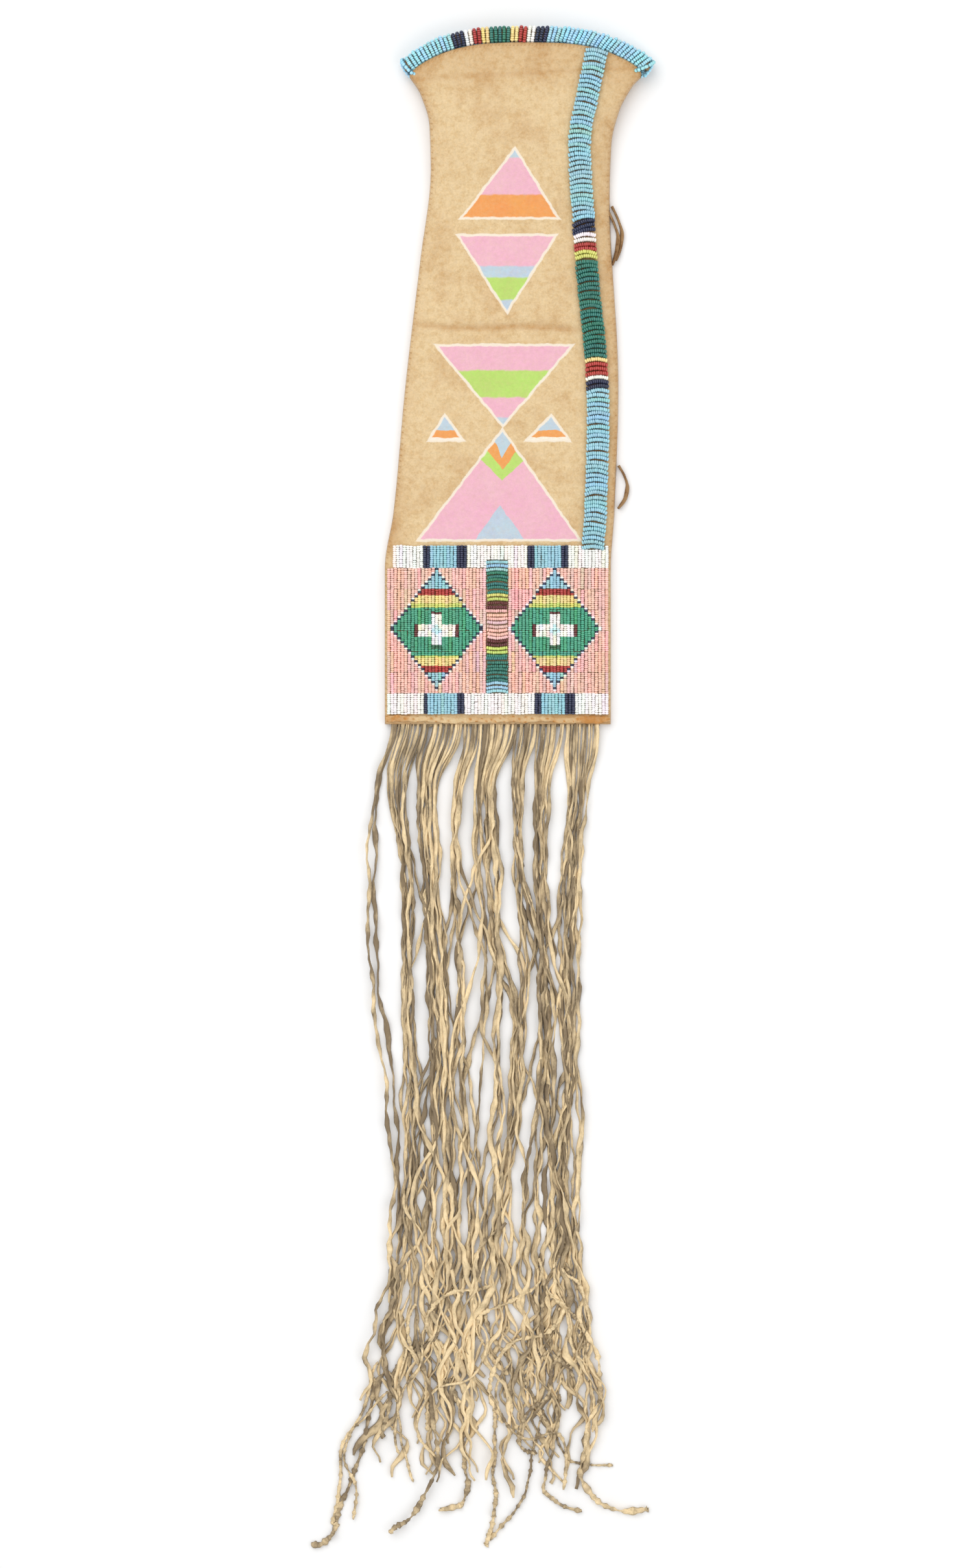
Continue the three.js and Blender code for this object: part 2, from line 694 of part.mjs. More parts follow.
// Where the strips bunch on the way down: the middle and half spread of each bunch at these heights.
const fringeLevels = [-14, -36, -61, -85, -135, -184, -233, -282, -331, -381, -430, -479];
const bunches = [
  {
    strips: 2,
    middles: [-68.5, -76.5, -75, -78, -80.5, -76, -67.5, -67, -64.5, -73.5, -77.5, -94],
    spreads: [1.6, 1.6, 3.7, 3.3, 2, 3.3, 2.5, 2.5, 2.5, 2.5, 3.3, 3.3],
  },
  {
    strips: 5,
    middles: [-56.5, -58.6, -57, -54, -57, -56, -55.4, -53.7, -48, -51, -58.2, -68.5],
    spreads: [6.5, 8.5, 6.6, 5, 6.1, 4.5, 5.7, 5.7, 9, 6.1, 8.2, 5],
  },
  {
    strips: 6,
    middles: [-37.3, -37.3, -37.7, -41, -34.4, -29.5, -29.5, -29.5, -25.4, -27.5, -28.7, -20],
    spreads: [9, 9, 9.5, 4.5, 13.3, 18.4, 15.2, 15, 9, 10.2, 13.5, 5],
  },
  {
    strips: 6,
    middles: [-10.2, -9.8, -10.2, -10.2, -4.9, -0.8, 2.9, 1.2, -0.8, -4.1, -0.8, 2.3],
    spreads: [13.1, 11.5, 11, 17.2, 9, 4.7, 13.1, 11.2, 11, 11.2, 10.2, 4.1],
  },
  {
    strips: 5,
    middles: [22.5, 25, 24.2, 22.5, 19.7, 13.5, 27.9, 23.8, 23.8, 21.7, 23.8, 18.5],
    spreads: [13, 13, 16.4, 8.2, 8.6, 5.6, 4.9, 7.4, 9.3, 10.6, 10, 6.6],
  },
  {
    strips: 6,
    middles: [51.3, 52.5, 53, 43.9, 41.9, 39, 45.4, 43.6, 45.5, 46.3, 46.3, 53.3],
    spreads: [12, 9.6, 5.3, 9.5, 9.4, 12, 8.4, 8, 6.6, 8.2, 8.2, 10],
  },
];
const stripEnds = [-481, -440, -473, -452, -479, -462]; // taken in turn by the strips of a bunch
const stripSteps = 9;
const fallLength = 24; // a strip comes down to the surface over this length
const layerRise = fringeThickness + seamGap; // every other strip lies over its neighbours
const crossing = 2.2; // how far the upper strips wander sideways

// The loose ends that lie away from the rest, as the bunch, the strip and the points it runs on through.
const looseEnds = [
  { bunch: 0, strip: 0, points: [[-103, -503], [-108, -521], [-118, -527.5]] },
  { bunch: 3, strip: 3, points: [[-0.6, -500], [-4.6, -514], [-6.2, -526]] },
  { bunch: 5, strip: 5, points: [[56, -487], [66, -496], [80, -502.5], [97, -500.5]] },
];

const header = {
  bottom: -lipLength - 3,
  low: lipDepth + seamGap,
  left: fringeLeftInset - seamHalf,
  right: seamHalf - fringeRightInset,
};

// A flat strip along a path in plan. Each point is [x, y, height of its underside].
function ribbon(path, width, thickness) {
  const rings = path.map(([x, y, z], i) => {
    const [before, after] = [path[Math.max(0, i - 1)], path[Math.min(path.length - 1, i + 1)]];
    const along = new THREE.Vector2(after[0] - before[0], after[1] - before[1]).normalize();
    const [sx, sy] = [(-along.y * width) / 2, (along.x * width) / 2];
    return [[1, 0], [1, 1], [-1, 1], [-1, 0]].map(
      ([side, level]) => new THREE.Vector3(x + side * sx, y + side * sy, z + level * thickness),
    );
  });
  return loft(rings);
}

function stripPath(bunch, index, layer, loose) {
  const middleAt = through(fringeLevels.map((level, i) => [-level, bunch.middles[i]]));
  const spreadAt = through(fringeLevels.map((level, i) => [-level, bunch.spreads[i]]));
  const share = (2 * index) / (bunch.strips - 1) - 1;
  const end = loose ? fringeLevels.at(-1) : stripEnds[index % stripEnds.length];
  const top = header.bottom + 1;
  const path = [];
  for (let i = 0; i <= stripSteps; i++) {
    const y = THREE.MathUtils.lerp(top, end, (i / stripSteps) ** 1.15);
    const fall = THREE.MathUtils.smoothstep(top - y, 0, fallLength);
    const wander = layer * fall * crossing * Math.sin(y / 21 + 2 * index);
    const x = middleAt(-y) + share * spreadAt(-y) + wander;
    const cut = THREE.MathUtils.clamp(x, header.left + stripWidth / 2, header.right - stripWidth / 2);
    path.push([THREE.MathUtils.lerp(cut, x, fall), y, THREE.MathUtils.lerp(header.low, layer * layerRise, fall)]);
  }
  if (loose) path.push(...loose.points.map(([x, y]) => [x, y, layer * layerRise]));
  return path;
}

function fringe() {
  const { low, left, right, bottom } = header;
  const top = bottom + fringeHeaderLength;
  let solid = toSolid(slab([[left, bottom], [right, bottom], [right, top], [left, top]], fringeThickness, low));
  bunches.forEach((bunch, b) => {
    for (let i = 0; i < bunch.strips; i++) {
      const loose = looseEnds.find((end) => end.bunch === b && end.strip === i);
      solid = solid.add(toSolid(ribbon(stripPath(bunch, i, i % 2, loose), stripWidth, fringeThickness)));
    }
  });
  return toGeometry(solid);
}

add("fringe", fringe(), "fringe");

// The thongs looped through the right side seam

const thongs = {
  side_thong_upper: [[72.2, 321.5, 2.6], [76.6, 312, 1.9], [78.6, 304.5, 1.3], [77.6, 296, 1.3], [74.9, 287.5, 1.9]],
  side_thong_lower: [[76.4, 157.5, 2.6], [80.2, 151, 1.9], [82, 144.5, 1.3], [80.9, 137.5, 1.5], [76.2, 130.5, 2.4]],
};

for (const [name, route] of Object.entries(thongs)) {
  const curve = new THREE.CatmullRomCurve3(route.map(([x, y, z]) => new THREE.Vector3(x, y, z)));
  const section = new THREE.Shape();
  section.absellipse(0, 0, thongThickness / 2, thongWidth / 2, 0, 2 * Math.PI);
  add(name, new THREE.ExtrudeGeometry(section, { extrudePath: curve, steps: 10, curveSegments: 4 }), "thong");
}

// The finished bag stands with its origin under the middle of its box.
const box = new THREE.Box3().setFromObject(bag);
const centre = box.getCenter(new THREE.Vector3());
bag.position.set(-centre.x, -centre.y, -box.min.z);

export default bag;
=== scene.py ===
"""A plains pipe bag, lying on its back with its beaded front up.

Two tanned hides are sewn into a long flat bag with a flared mouth. The front carries painted triangles, a
lane of beads that runs down from the mouth and a beaded panel over the closed end. A roll of beads binds
the mouth, and a long fringe hangs from the bottom seam.
A piece is worked out in millimetres, with X = 0 in the middle of the beaded panel and Y = 0 at the panel's
bottom edge. It is moved into the frame and turned into metres when its mesh is made.
"""

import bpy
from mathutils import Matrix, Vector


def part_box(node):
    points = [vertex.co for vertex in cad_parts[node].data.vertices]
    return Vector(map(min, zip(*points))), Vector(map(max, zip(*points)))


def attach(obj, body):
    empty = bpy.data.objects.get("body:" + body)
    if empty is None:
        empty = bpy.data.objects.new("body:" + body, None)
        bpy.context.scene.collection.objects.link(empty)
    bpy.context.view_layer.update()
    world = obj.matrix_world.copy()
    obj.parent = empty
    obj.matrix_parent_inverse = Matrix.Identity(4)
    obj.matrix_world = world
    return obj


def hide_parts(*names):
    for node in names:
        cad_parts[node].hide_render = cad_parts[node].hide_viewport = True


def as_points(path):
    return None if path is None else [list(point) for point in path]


bl_info = {
    "name": "Pipe bag",
    "version": (1, 0, 0),
    "blender": (4, 5, 0),
    "location": "3D View > Sidebar > Pipe bag",
    "description": "Builds a hide pipe bag with painted figures, lane-stitched beadwork and a long fringe",
    "category": "Mesh",
}

import bpy
import numpy as np
from mathutils import Vector

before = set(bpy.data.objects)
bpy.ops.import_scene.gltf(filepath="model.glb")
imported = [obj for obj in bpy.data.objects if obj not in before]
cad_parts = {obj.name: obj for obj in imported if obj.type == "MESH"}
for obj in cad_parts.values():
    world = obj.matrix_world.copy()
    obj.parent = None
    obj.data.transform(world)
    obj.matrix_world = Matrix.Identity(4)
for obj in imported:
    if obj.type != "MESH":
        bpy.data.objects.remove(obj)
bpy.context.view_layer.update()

# Where the pieces' own origin lies in the frame, in millimetres

CENTRE_LANE_MIDDLE = -0.4
LIP_LENGTH = 6
lane_low, lane_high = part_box("centre_lane_pink")
hide_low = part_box("front_hide")[0]
ORIGIN = np.array([
    (lane_low.x + lane_high.x) * 500 - CENTRE_LANE_MIDDLE,
    hide_low.y * 1000 + LIP_LENGTH,
    0.0,
])

# Sizes of the bag, in millimetres

HIDE_THICKNESS = 1.4
SEAM_GAP = 0.3
SEAM_HALF = 71.5
BORDER_HEIGHT = 13.4
FIELD_HEIGHT = 79
FIELD_TOP = BORDER_HEIGHT + FIELD_HEIGHT
TOP_BORDER_HEIGHT = 14.2
PANEL_TOP = FIELD_TOP + TOP_BORDER_HEIGHT
WAIST_HEIGHT = 345
MOUTH_HEIGHT = 409
MOUTH_ARCH = 19.5
MOUTH_RISE = 7
ROLL_HEIGHT = 10
ROLL_THICKNESS = 5.5
PANEL_RIGHT = 69.92
CENTRE_LANE_WIDTH = 14.4
STRIPE_WIDTH = 14


def srgb(red, green, blue):
    """The linear colour of an sRGB one, whose parts run from 0 to 255."""
    part = np.array([red, green, blue]) / 255
    linear = np.where(part <= 0.04045, part / 12.92, ((part + 0.055) / 1.055) ** 2.4)
    return tuple(float(value) for value in linear)


# What a user may change


def colour_property(name, description, *parts):
    return bpy.props.FloatVectorProperty(
        name=name, description=description, subtype="COLOR", size=3, min=0, max=1, default=srgb(*parts)
    )


def length_property(name, description, default):
    return bpy.props.FloatProperty(name=name, description=description, default=default, min=0, unit="LENGTH")


def share_property(name, description, default):
    return bpy.props.FloatProperty(
        name=name, description=description, default=default, min=0, subtype="FACTOR"
    )


def power_property(name, description, default):
    return bpy.props.FloatProperty(name=name, description=description, default=default, unit="POWER")


def group_property(kind, name):
    return bpy.props.PointerProperty(type=kind, name=name, description=kind.__doc__)


class HideSettings(bpy.types.PropertyGroup):
    """The two tanned hides"""

    colour: colour_property("Hide", "Colour of the clean hide", 222, 195, 149)
    # This dark colour also paints shade on the front hide: in its folds, under the stripe and under the roll
    handled: colour_property("Handled hide", "Colour where the hide is darkened by handling", 190, 148, 96)
    wave: length_property("Waves", "Height of the low waves in the hide", 0.0005)
    crease: length_property("Crease", "Depth of the fold across the bag", 0.0011)
    pucker: length_property("Puckers", "Height of the puckers along the seams", 0.0004)


class PaintSettings(bpy.types.PropertyGroup):
    """The painted figures"""

    pink: colour_property("Pink", "Pink paint", 236, 178, 198)
    orange: colour_property("Orange", "Orange paint", 236, 153, 76)
    green: colour_property("Green", "Green paint", 180, 219, 104)
    blue: colour_property("Blue", "Pale blue paint", 184, 205, 222)
    outline: colour_property("Outline", "Light line round each figure", 246, 236, 220)
    wobble: length_property("Wobble", "How far a painted edge strays", 0.0006)
    cover: share_property("Cover", "How much of the hide's colour the paint hides", 0.94)


class BeadSettings(bpy.types.PropertyGroup):
    """The glass seed beads"""

    diameter: length_property("Diameter", "Diameter of a bead", 0.00222)
    blue: colour_property("Blue", "Pale blue beads", 166, 214, 226)
    navy: colour_property("Navy", "Dark blue beads", 52, 58, 84)
    white: colour_property("White", "White beads", 252, 250, 245)
    red: colour_property("Red", "Dark red beads", 188, 72, 66)
    yellow: colour_property("Yellow", "Yellow beads", 248, 226, 158)
    green: colour_property("Green", "Blue-green beads", 62, 130, 116)
    jade: colour_property("Jade", "Jade green beads", 88, 174, 140)
    pink: colour_property("Pink", "Salmon pink beads", 250, 204, 190)
    uneven: share_property("Unevenness", "How much the beads differ in size and place", 0.05)


class FringeSettings(bpy.types.PropertyGroup):
    """The cut fringe"""

    light: colour_property("Light", "Light side of a strip", 250, 224, 176)
    dark: colour_property("Dark", "Dark side of a strip", 134, 116, 90)
    width: length_property("Strip width", "Width of a strip", 0.0027)
    thickness: length_property("Strip thickness", "Thickness of a strip", 0.0013)
    seed: bpy.props.IntProperty(name="Seed", description="Which of the possible tangles is made", default=5)


class ThongSettings(bpy.types.PropertyGroup):
    """The two thongs looped through the side seam"""

    colour: colour_property("Thong", "Colour of the thongs", 196, 160, 112)
    width: length_property("Width", "Width of a thong", 0.0034)
    thickness: length_property("Thickness", "Thickness of a thong", 0.0016)


class StageSettings(bpy.types.PropertyGroup):
    """The floor, the lights and the camera"""

    floor: colour_property("Floor", "Colour of the floor", 249, 249, 249)
    key: power_property("Key light", "Power of the large light", 38)
    fill: power_property("Fill light", "Power of the second light", 16)
    sky: share_property("Sky", "Strength of the light from all round", 0.66)


class PipeBagSettings(bpy.types.PropertyGroup):
    """Everything that can be set for the pipe bag"""

    hide: group_property(HideSettings, "Hide")
    paint: group_property(PaintSettings, "Paint")
    beads: group_property(BeadSettings, "Beads")
    fringe: group_property(FringeSettings, "Fringe")
    thongs: group_property(ThongSettings, "Thongs")
    stage: group_property(StageSettings, "Stage")


def settings():
    return bpy.context.scene.pipe_bag


# The bag's outline and cross-section


def through(*pairs):
    """A smooth curve through (position, value) pairs that never overshoots them: between two neighbours it
    is the cubic whose end slopes are the harmonic means of the slopes on either side."""
    at, value = np.array(pairs, float).T
    span = np.diff(at)
    slope = np.diff(value) / span
    same = slope[:-1] * slope[1:] > 0
    total = np.where(same, slope[:-1] + slope[1:], 1)
    tangent = np.zeros(len(at))
    tangent[1:-1] = np.where(same, 2 * slope[:-1] * slope[1:] / total, 0)

    def curve(position):
        place = np.clip(position, at[0], at[-1])
        i = np.clip(np.searchsorted(at, place, side="right") - 1, 0, len(at) - 2)
        t = (place - at[i]) / span[i]
        rise = value[i] * (1 + 2 * t) + tangent[i] * span[i] * t
        fall = value[i + 1] * (3 - 2 * t) + tangent[i + 1] * span[i] * (t - 1)
        return rise * (1 - t) ** 2 + fall * t**2

    return curve


def on_body(share):
    return PANEL_TOP + share * (WAIST_HEIGHT - PANEL_TOP)


def on_neck(share):
    return WAIST_HEIGHT + share * (MOUTH_HEIGHT - WAIST_HEIGHT)


# Curves along the bag, by Y: its two edges, how far the front rises and the back sinks from the seam, how
# far the back is lifted, and how full both sections are

left_edge = through(
    (-LIP_LENGTH, -SEAM_HALF), (FIELD_TOP, -SEAM_HALF), (on_body(0.09), -66), (on_body(0.42), -58.6),
    (on_body(0.76), -49), (WAIST_HEIGHT, -42.4), (on_neck(0.42), -43.2), (on_neck(0.73), -49),
    (MOUTH_HEIGHT, -58.6),
)
right_edge = through(
    (-LIP_LENGTH, SEAM_HALF), (FIELD_TOP, SEAM_HALF), (on_body(0.09), 73.8), (on_body(0.42), 76.3),
    (on_body(0.93), 70.8), (on_neck(0.23), 71.8), (on_neck(0.55), 76.5), (on_neck(0.8), 85),
    (MOUTH_HEIGHT, 95.5),
)
front_rise = through(
    (-LIP_LENGTH, 3.4), (0, 6), (PANEL_TOP, 6), (on_body(0.42), 8), (WAIST_HEIGHT, 8), (MOUTH_HEIGHT, 7)
)
depth_below_seam = through((-LIP_LENGTH, 1.6), (0, 2.2), (on_body(0.85), 2.2), (MOUTH_HEIGHT, MOUTH_RISE))
back_lift = through((on_body(0.85), 0), (MOUTH_HEIGHT, (ROLL_THICKNESS - HIDE_THICKNESS) / 2))
front_fullness = through((-LIP_LENGTH, 8), (0, 2.6), (WAIST_HEIGHT, 2.6), (MOUTH_HEIGHT, 4))
back_fullness = through((WAIST_HEIGHT, 8), (MOUTH_HEIGHT, 4))


def middle(y):
    return (left_edge(y) + right_edge(y)) / 2


def half_width(y):
    return (right_edge(y) - left_edge(y)) / 2


def seam_height(y):
    return back_lift(y) + depth_below_seam(y) + SEAM_GAP / 2


def share_across(x, y):
    """Where a point lies between the seams, from -1 at the left one to 1 at the right one."""
    return np.clip((x - middle(y)) / half_width(y), -1, 1)


def to_seam(u, y):
    """How far a point lies from the nearer seam."""
    return (1 - np.abs(u)) * half_width(y)


def fullness(u, power):
    """How high a superellipse of unit half axes stands at a share u of its half width."""
    return np.maximum(0, 1 - np.abs(u) ** power) ** (1 / power)


def smooth(value, low, high):
    """0 below low and 1 above high, with a smooth step between them."""
    t = np.clip((value - low) / (high - low), 0, 1)
    return t * t * (3 - 2 * t)


def bell(value, reach):
    """1 at zero, falling off on both sides to 1/e at this reach."""
    return np.exp(-((value / reach) ** 2))


def blot(x, y, centre, reach):
    """A bell over a plane: 1 at its centre, with one reach along X and one along Y."""
    return np.exp(-(((x - centre[0]) / reach[0]) ** 2) - ((y - centre[1]) / reach[1]) ** 2)


def mouth_height(u):
    return MOUTH_HEIGHT + MOUTH_ARCH * (1 - np.abs(u) ** 3)


def hide_end(u):
    """Where the hides end along Y, under the roll's lower edge."""
    slope = 3 * MOUTH_ARCH * u * u / half_width(MOUTH_HEIGHT)
    return mouth_height(u) - ROLL_HEIGHT / 2 * np.hypot(1, slope) - 2 * SEAM_GAP


# How far in from the right seam the stripe's middle lies, by its share of the way up, and the straight line
# that it follows over the last part, as X at a height and its slope

stripe_inset = through(
    (0, 12.2), (0.24, 12.7), (0.52, 16), (0.68, 17.3), (0.79, 19.9), (0.89, 22.5), (0.95, 26.1), (1, 31.5)
)
STRIPE_BOTTOM = PANEL_TOP + SEAM_GAP
STRIPE_TOP = hide_end(0.57) - 1
STRIPE_LINE_X, STRIPE_LINE_HEIGHT, STRIPE_LINE_SLOPE = 52.1, 370, 0.2125


def stripe_centre(y):
    """The middle of the stripe: it keeps its inset from the right seam, then runs straight to the roll."""
    beside_seam = right_edge(y) - stripe_inset((y - STRIPE_BOTTOM) / (STRIPE_TOP - STRIPE_BOTTOM))
    straight = STRIPE_LINE_X + STRIPE_LINE_SLOPE * (y - STRIPE_LINE_HEIGHT)
    return beside_seam + (straight - beside_seam) * smooth(y, 360, 380)


# The folds across the bag and the neck, the middle of the dent beside the first, and the low waves as
# (length, direction in radians, phase, share of the height)

FOLD_HEIGHT = 244.2
NECK_FOLD_HEIGHT = 402.6
DENT_MIDDLE = (25.4, 246.5)
WAVES = (
    (97, 0.4, 1.1, 0.40), (61, 1.7, 2.3, 0.28), (43, 2.6, 0.4, 0.18), (29, 0.9, 4.0, 0.14),
    (17, 2.1, 5.2, 0.06),
)


def fold(x, y):
    """How near a point lies to the fold, from 0 to 1: a bell across a bent line, faded at both ends."""
    line = FOLD_HEIGHT - 0.035 * x + 1.1 * np.sin(x / 15)
    ends = smooth(x, -56, -44) * (1 - smooth(x, 44, 56))
    return bell(y - line, 1.7) * ends


def neck_fold(x, y):
    """How near a point lies to the faint fold below the mouth, from 0 to 1."""
    return bell(y - NECK_FOLD_HEIGHT - 0.05 * x, 1.5)


def relief(x, y):
    """How far the front hide stands off its plain section, faded out at the seams: low waves, which are
    sums of sines; a fold across the bag with a ridge above it and a dent in it; a faint fold near the
    mouth; small folds across the neck and in the lower left corner; and puckers beside the seams."""
    hide = settings().hide
    u = share_across(x, y)
    waves = sum(
        share * np.sin(2 * np.pi * (x * np.cos(turn) + y * np.sin(turn)) / length + phase)
        for length, turn, phase, share in WAVES
    )
    waves = waves * (0.35 + 0.65 * smooth(y, 90, 130)) * (1 - 0.5 * smooth(y, 385, 410))
    ridge = fold(x, y - 5)
    dent = blot(x, y, DENT_MIDDLE, (6, 2.6))
    neck = np.sin(2 * np.pi * (y + 0.22 * x) / 8.5 + 2 * np.sin(x / 23)) * smooth(y, 325, 365)
    neck = neck * (0.5 + 0.5 * np.sin(x / 17 + y / 31)) * (0.22 + 0.4 * smooth(-x, 10, 45))
    corner = blot(x, y, (-62, 119), (9, 13)) * np.sin(2 * np.pi * (0.8 * x + 0.6 * y) / 10)
    folds = 0.5 * ridge - 1.3 * fold(x, y) - 0.9 * dent - 0.35 * neck_fold(x, y) + neck + 0.5 * corner
    upper_left = smooth(y, 335, 350) * (1 - smooth(y, 385, 395)) * (u < 0)
    puckers = bell(to_seam(u, y) - 3, 3.2) * smooth(y, 115, 140) * (0.55 + 0.9 * upper_left)
    puckers = puckers * np.sin(2 * np.pi * y / 6.3 + 1.3 * np.sin(y / 19))
    raised = 1000 * (hide.wave * waves + hide.crease * folds + hide.pucker * puckers)
    return raised * (1 - np.abs(u) ** 8)


def hide_top(x, y):
    """The height of the front hide's outer face."""
    u = share_across(x, y)
    plain = seam_height(y) + SEAM_GAP / 2 + front_rise(y) * fullness(u, front_fullness(y))
    return plain + relief(x, y)


# Meshes from arrays


def tube_faces(pieces, rings, sides, closed=False):
    """The faces of equal tubes: each ring of points is joined to the next, and an open tube has an end face
    at both ends."""
    start = (np.arange(pieces) * rings * sides)[:, None, None]
    ring = np.arange(rings if closed else rings - 1)[None, :, None]
    side = np.arange(sides)[None, None, :]
    here, beside = start + side, start + (side + 1) % sides
    ahead = (ring + 1) % rings * sides
    quads = np.broadcast_arrays(here + ring * sides, beside + ring * sides, beside + ahead, here + ahead)
    walls = np.stack(quads, axis=-1).reshape(-1, 4)
    if closed:
        return [walls]
    first = start[:, 0] + np.arange(sides)[::-1]
    last = start[:, 0] + (rings - 1) * sides + np.arange(sides)
    return [walls, np.concatenate([first, last])]


def shell(outer, inner):
    """The points and faces of the wall between two grids of points, rows by columns."""
    rows, columns = outer.shape[:2]
    count = rows * columns
    out = np.arange(count).reshape(rows, columns)
    inn = out + count
    a, b, c, d = out[:-1, :-1], out[:-1, 1:], out[1:, 1:], out[1:, :-1]

    def quads(*grids):
        return np.stack([grid.ravel() for grid in grids], axis=1)

    faces = [
        quads(a, b, c, d),
        quads(a + count, d + count, c + count, b + count),
        quads(out[:-1, 0], out[1:, 0], inn[1:, 0], inn[:-1, 0]),
        quads(out[:-1, -1], inn[:-1, -1], inn[1:, -1], out[1:, -1]),
        quads(out[0, :-1], inn[0, :-1], inn[0, 1:], out[0, 1:]),
        quads(out[-1, :-1], out[-1, 1:], inn[-1, 1:], inn[-1, :-1]),
    ]
    return np.concatenate([outer.reshape(-1, 3), inner.reshape(-1, 3)]), [np.concatenate(faces)]


def link(name, data):
    """A new object of this data, in the scene."""
    thing = bpy.data.objects.new(name, data)
    bpy.context.scene.collection.objects.link(thing)
    return thing


def in_frame(points):
    """Points in the pieces' millimetres, moved into the frame in metres."""
    return (points + ORIGIN) * 0.001


def add_piece(name, points, faces, material, nodes=(), values=None):
    """Makes a piece of points in millimetres and arrays of faces. Values hold an array of each name."""
    spots = in_frame(points.reshape(-1, 3))
    if not np.isfinite(spots).all():
        raise ValueError(name + " has a point that is no number")
    mesh = bpy.data.meshes.new(name)
    mesh.vertices.add(len(spots))
    mesh.vertices.foreach_set("co", spots.astype(np.float32).ravel())
    loops = np.concatenate([group.ravel() for group in faces]).astype(np.int32)
    sizes = np.concatenate([np.full(len(group), group.shape[1]) for group in faces])
    mesh.loops.add(len(loops))
    mesh.loops.foreach_set("vertex_index", loops)
    mesh.polygons.add(len(sizes))
    mesh.polygons.foreach_set("loop_start", (np.cumsum(sizes) - sizes).astype(np.int32))
    mesh.polygons.foreach_set("use_smooth", np.ones(len(sizes), bool))
    for key, value in (values or {}).items():
        single = value.size == len(spots)
        layer = mesh.attributes.new(key, "FLOAT" if single else "FLOAT_VECTOR", "POINT")
        layer.data.foreach_set("value" if single else "vector", value.astype(np.float32).ravel())
    mesh.update(calc_edges=True)
    mesh.validate()
    mesh.materials.append(material)
    piece = link(name, mesh)
    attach(piece, "root")
    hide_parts(*nodes)
    return piece


def unit(vectors):
    return vectors / np.linalg.norm(vectors, axis=-1, keepdims=True)


def square_to(along, up):
    """Unit vectors square to the unit vectors along, as near to up as they can be."""
    up = np.broadcast_to(np.asarray(up, float), along.shape)
    return unit(up - along * np.sum(up * along, axis=-1, keepdims=True))


def run_along(points):
    """How far along a line of points each of them has come."""
    return np.concatenate([[0], np.cumsum(np.linalg.norm(np.diff(points, axis=0), axis=1))])


# Shader trees


class Tree:
    """Adds nodes to a shader tree. A value that is a socket is joined, and any other is set."""

    def __init__(self, tree):
        self.tree = tree

    def join(self, value, socket):
        self.tree.links.new(value, socket)

    def add(self, kind, sockets=(), **options):
        node = self.tree.nodes.new(kind)
        for key, value in options.items():
            setattr(node, key, value)
        for key, value in dict(sockets).items():
            socket = node.inputs[key]
            if isinstance(value, bpy.types.NodeSocket):
                self.join(value, socket)
            elif socket.type == "RGBA":
                socket.default_value = (*value, 1)
            else:
                socket.default_value = value
        return node

    def maths(self, operation, *values):
        return self.add("ShaderNodeMath", enumerate(values), operation=operation).outputs[0]

    def vector(self, operation, *values):
        node = self.add("ShaderNodeVectorMath", enumerate(values), operation=operation)
        return node.outputs[1 if operation == "DOT_PRODUCT" else 0]

    def scaled(self, vector, factor):
        node = self.add("ShaderNodeVectorMath", {0: vector}, operation="SCALE")
        node.inputs["Scale"].default_value = factor
        return node.outputs[0]

    def mix(self, factor, first, second, blend="MIX"):
        sockets = {0: factor, 6: first, 7: second}
        return self.add("ShaderNodeMix", sockets, data_type="RGBA", blend_type=blend).outputs[2]

    def step(self, value, low, high):
        sockets = {0: value, 1: low, 2: high, 3: 0.0, 4: 1.0}
        return self.add("ShaderNodeMapRange", sockets, interpolation_type="SMOOTHSTEP").outputs[0]

    def noise(self, vector, scale, detail=3.0, roughness=0.5):
        sockets = {"Vector": vector, "Scale": scale, "Detail": detail, "Roughness": roughness}
        return self.add("ShaderNodeTexNoise", sockets).outputs[0]

    def cells(self, vector, scale):
        return self.add("ShaderNodeTexVoronoi", {"Vector": vector, "Scale": scale}).outputs["Distance"]

    def rgb(self, *parts):
        return self.add("ShaderNodeCombineColor", enumerate(parts)).outputs[0]

    def group(self, build, sockets):
        """A node of the group that a function builds, which is built once."""
        name = build.__name__
        return self.add("ShaderNodeGroup", sockets, node_tree=bpy.data.node_groups.get(name) or build(name))

    def attribute(self, name, output):
        return self.add("ShaderNodeAttribute", attribute_name=name).outputs[output]

    def ramp(self, value, stops):
        node = self.add("ShaderNodeValToRGB", {0: value})
        elements = node.color_ramp.elements
        elements[0].position, elements[0].color = stops[0][0], (*stops[0][1], 1)
        elements[1].position, elements[1].color = stops[-1][0], (*stops[-1][1], 1)
        for place, colour in stops[1:-1]:
            elements.new(place).color = (*colour, 1)
        return node.outputs[0]

    def bands(self, value, colours, edges, soft):
        """Flat colours one after another, which change over a short way at each edge."""
        stops = [(0.0, colours[0])]
        for edge, (before, after) in zip(edges, zip(colours, colours[1:])):
            stops += [(edge - soft, before), (edge + soft, after)]
        return self.ramp(value, stops + [(1.0, colours[-1])])


def node_group(name, inputs, outputs):
    """A new shader node group with named sockets, as the group, its tree, what comes in and where it goes
    out."""
    group = bpy.data.node_groups.new(name, "ShaderNodeTree")
    for side, sockets in (("INPUT", inputs), ("OUTPUT", outputs)):
        for label, kind in sockets.items():
            group.interface.new_socket(name=label, in_out=side, socket_type="NodeSocket" + kind)
    tree = Tree(group)
    return group, tree, tree.add("NodeGroupInput").outputs, tree.add("NodeGroupOutput").inputs


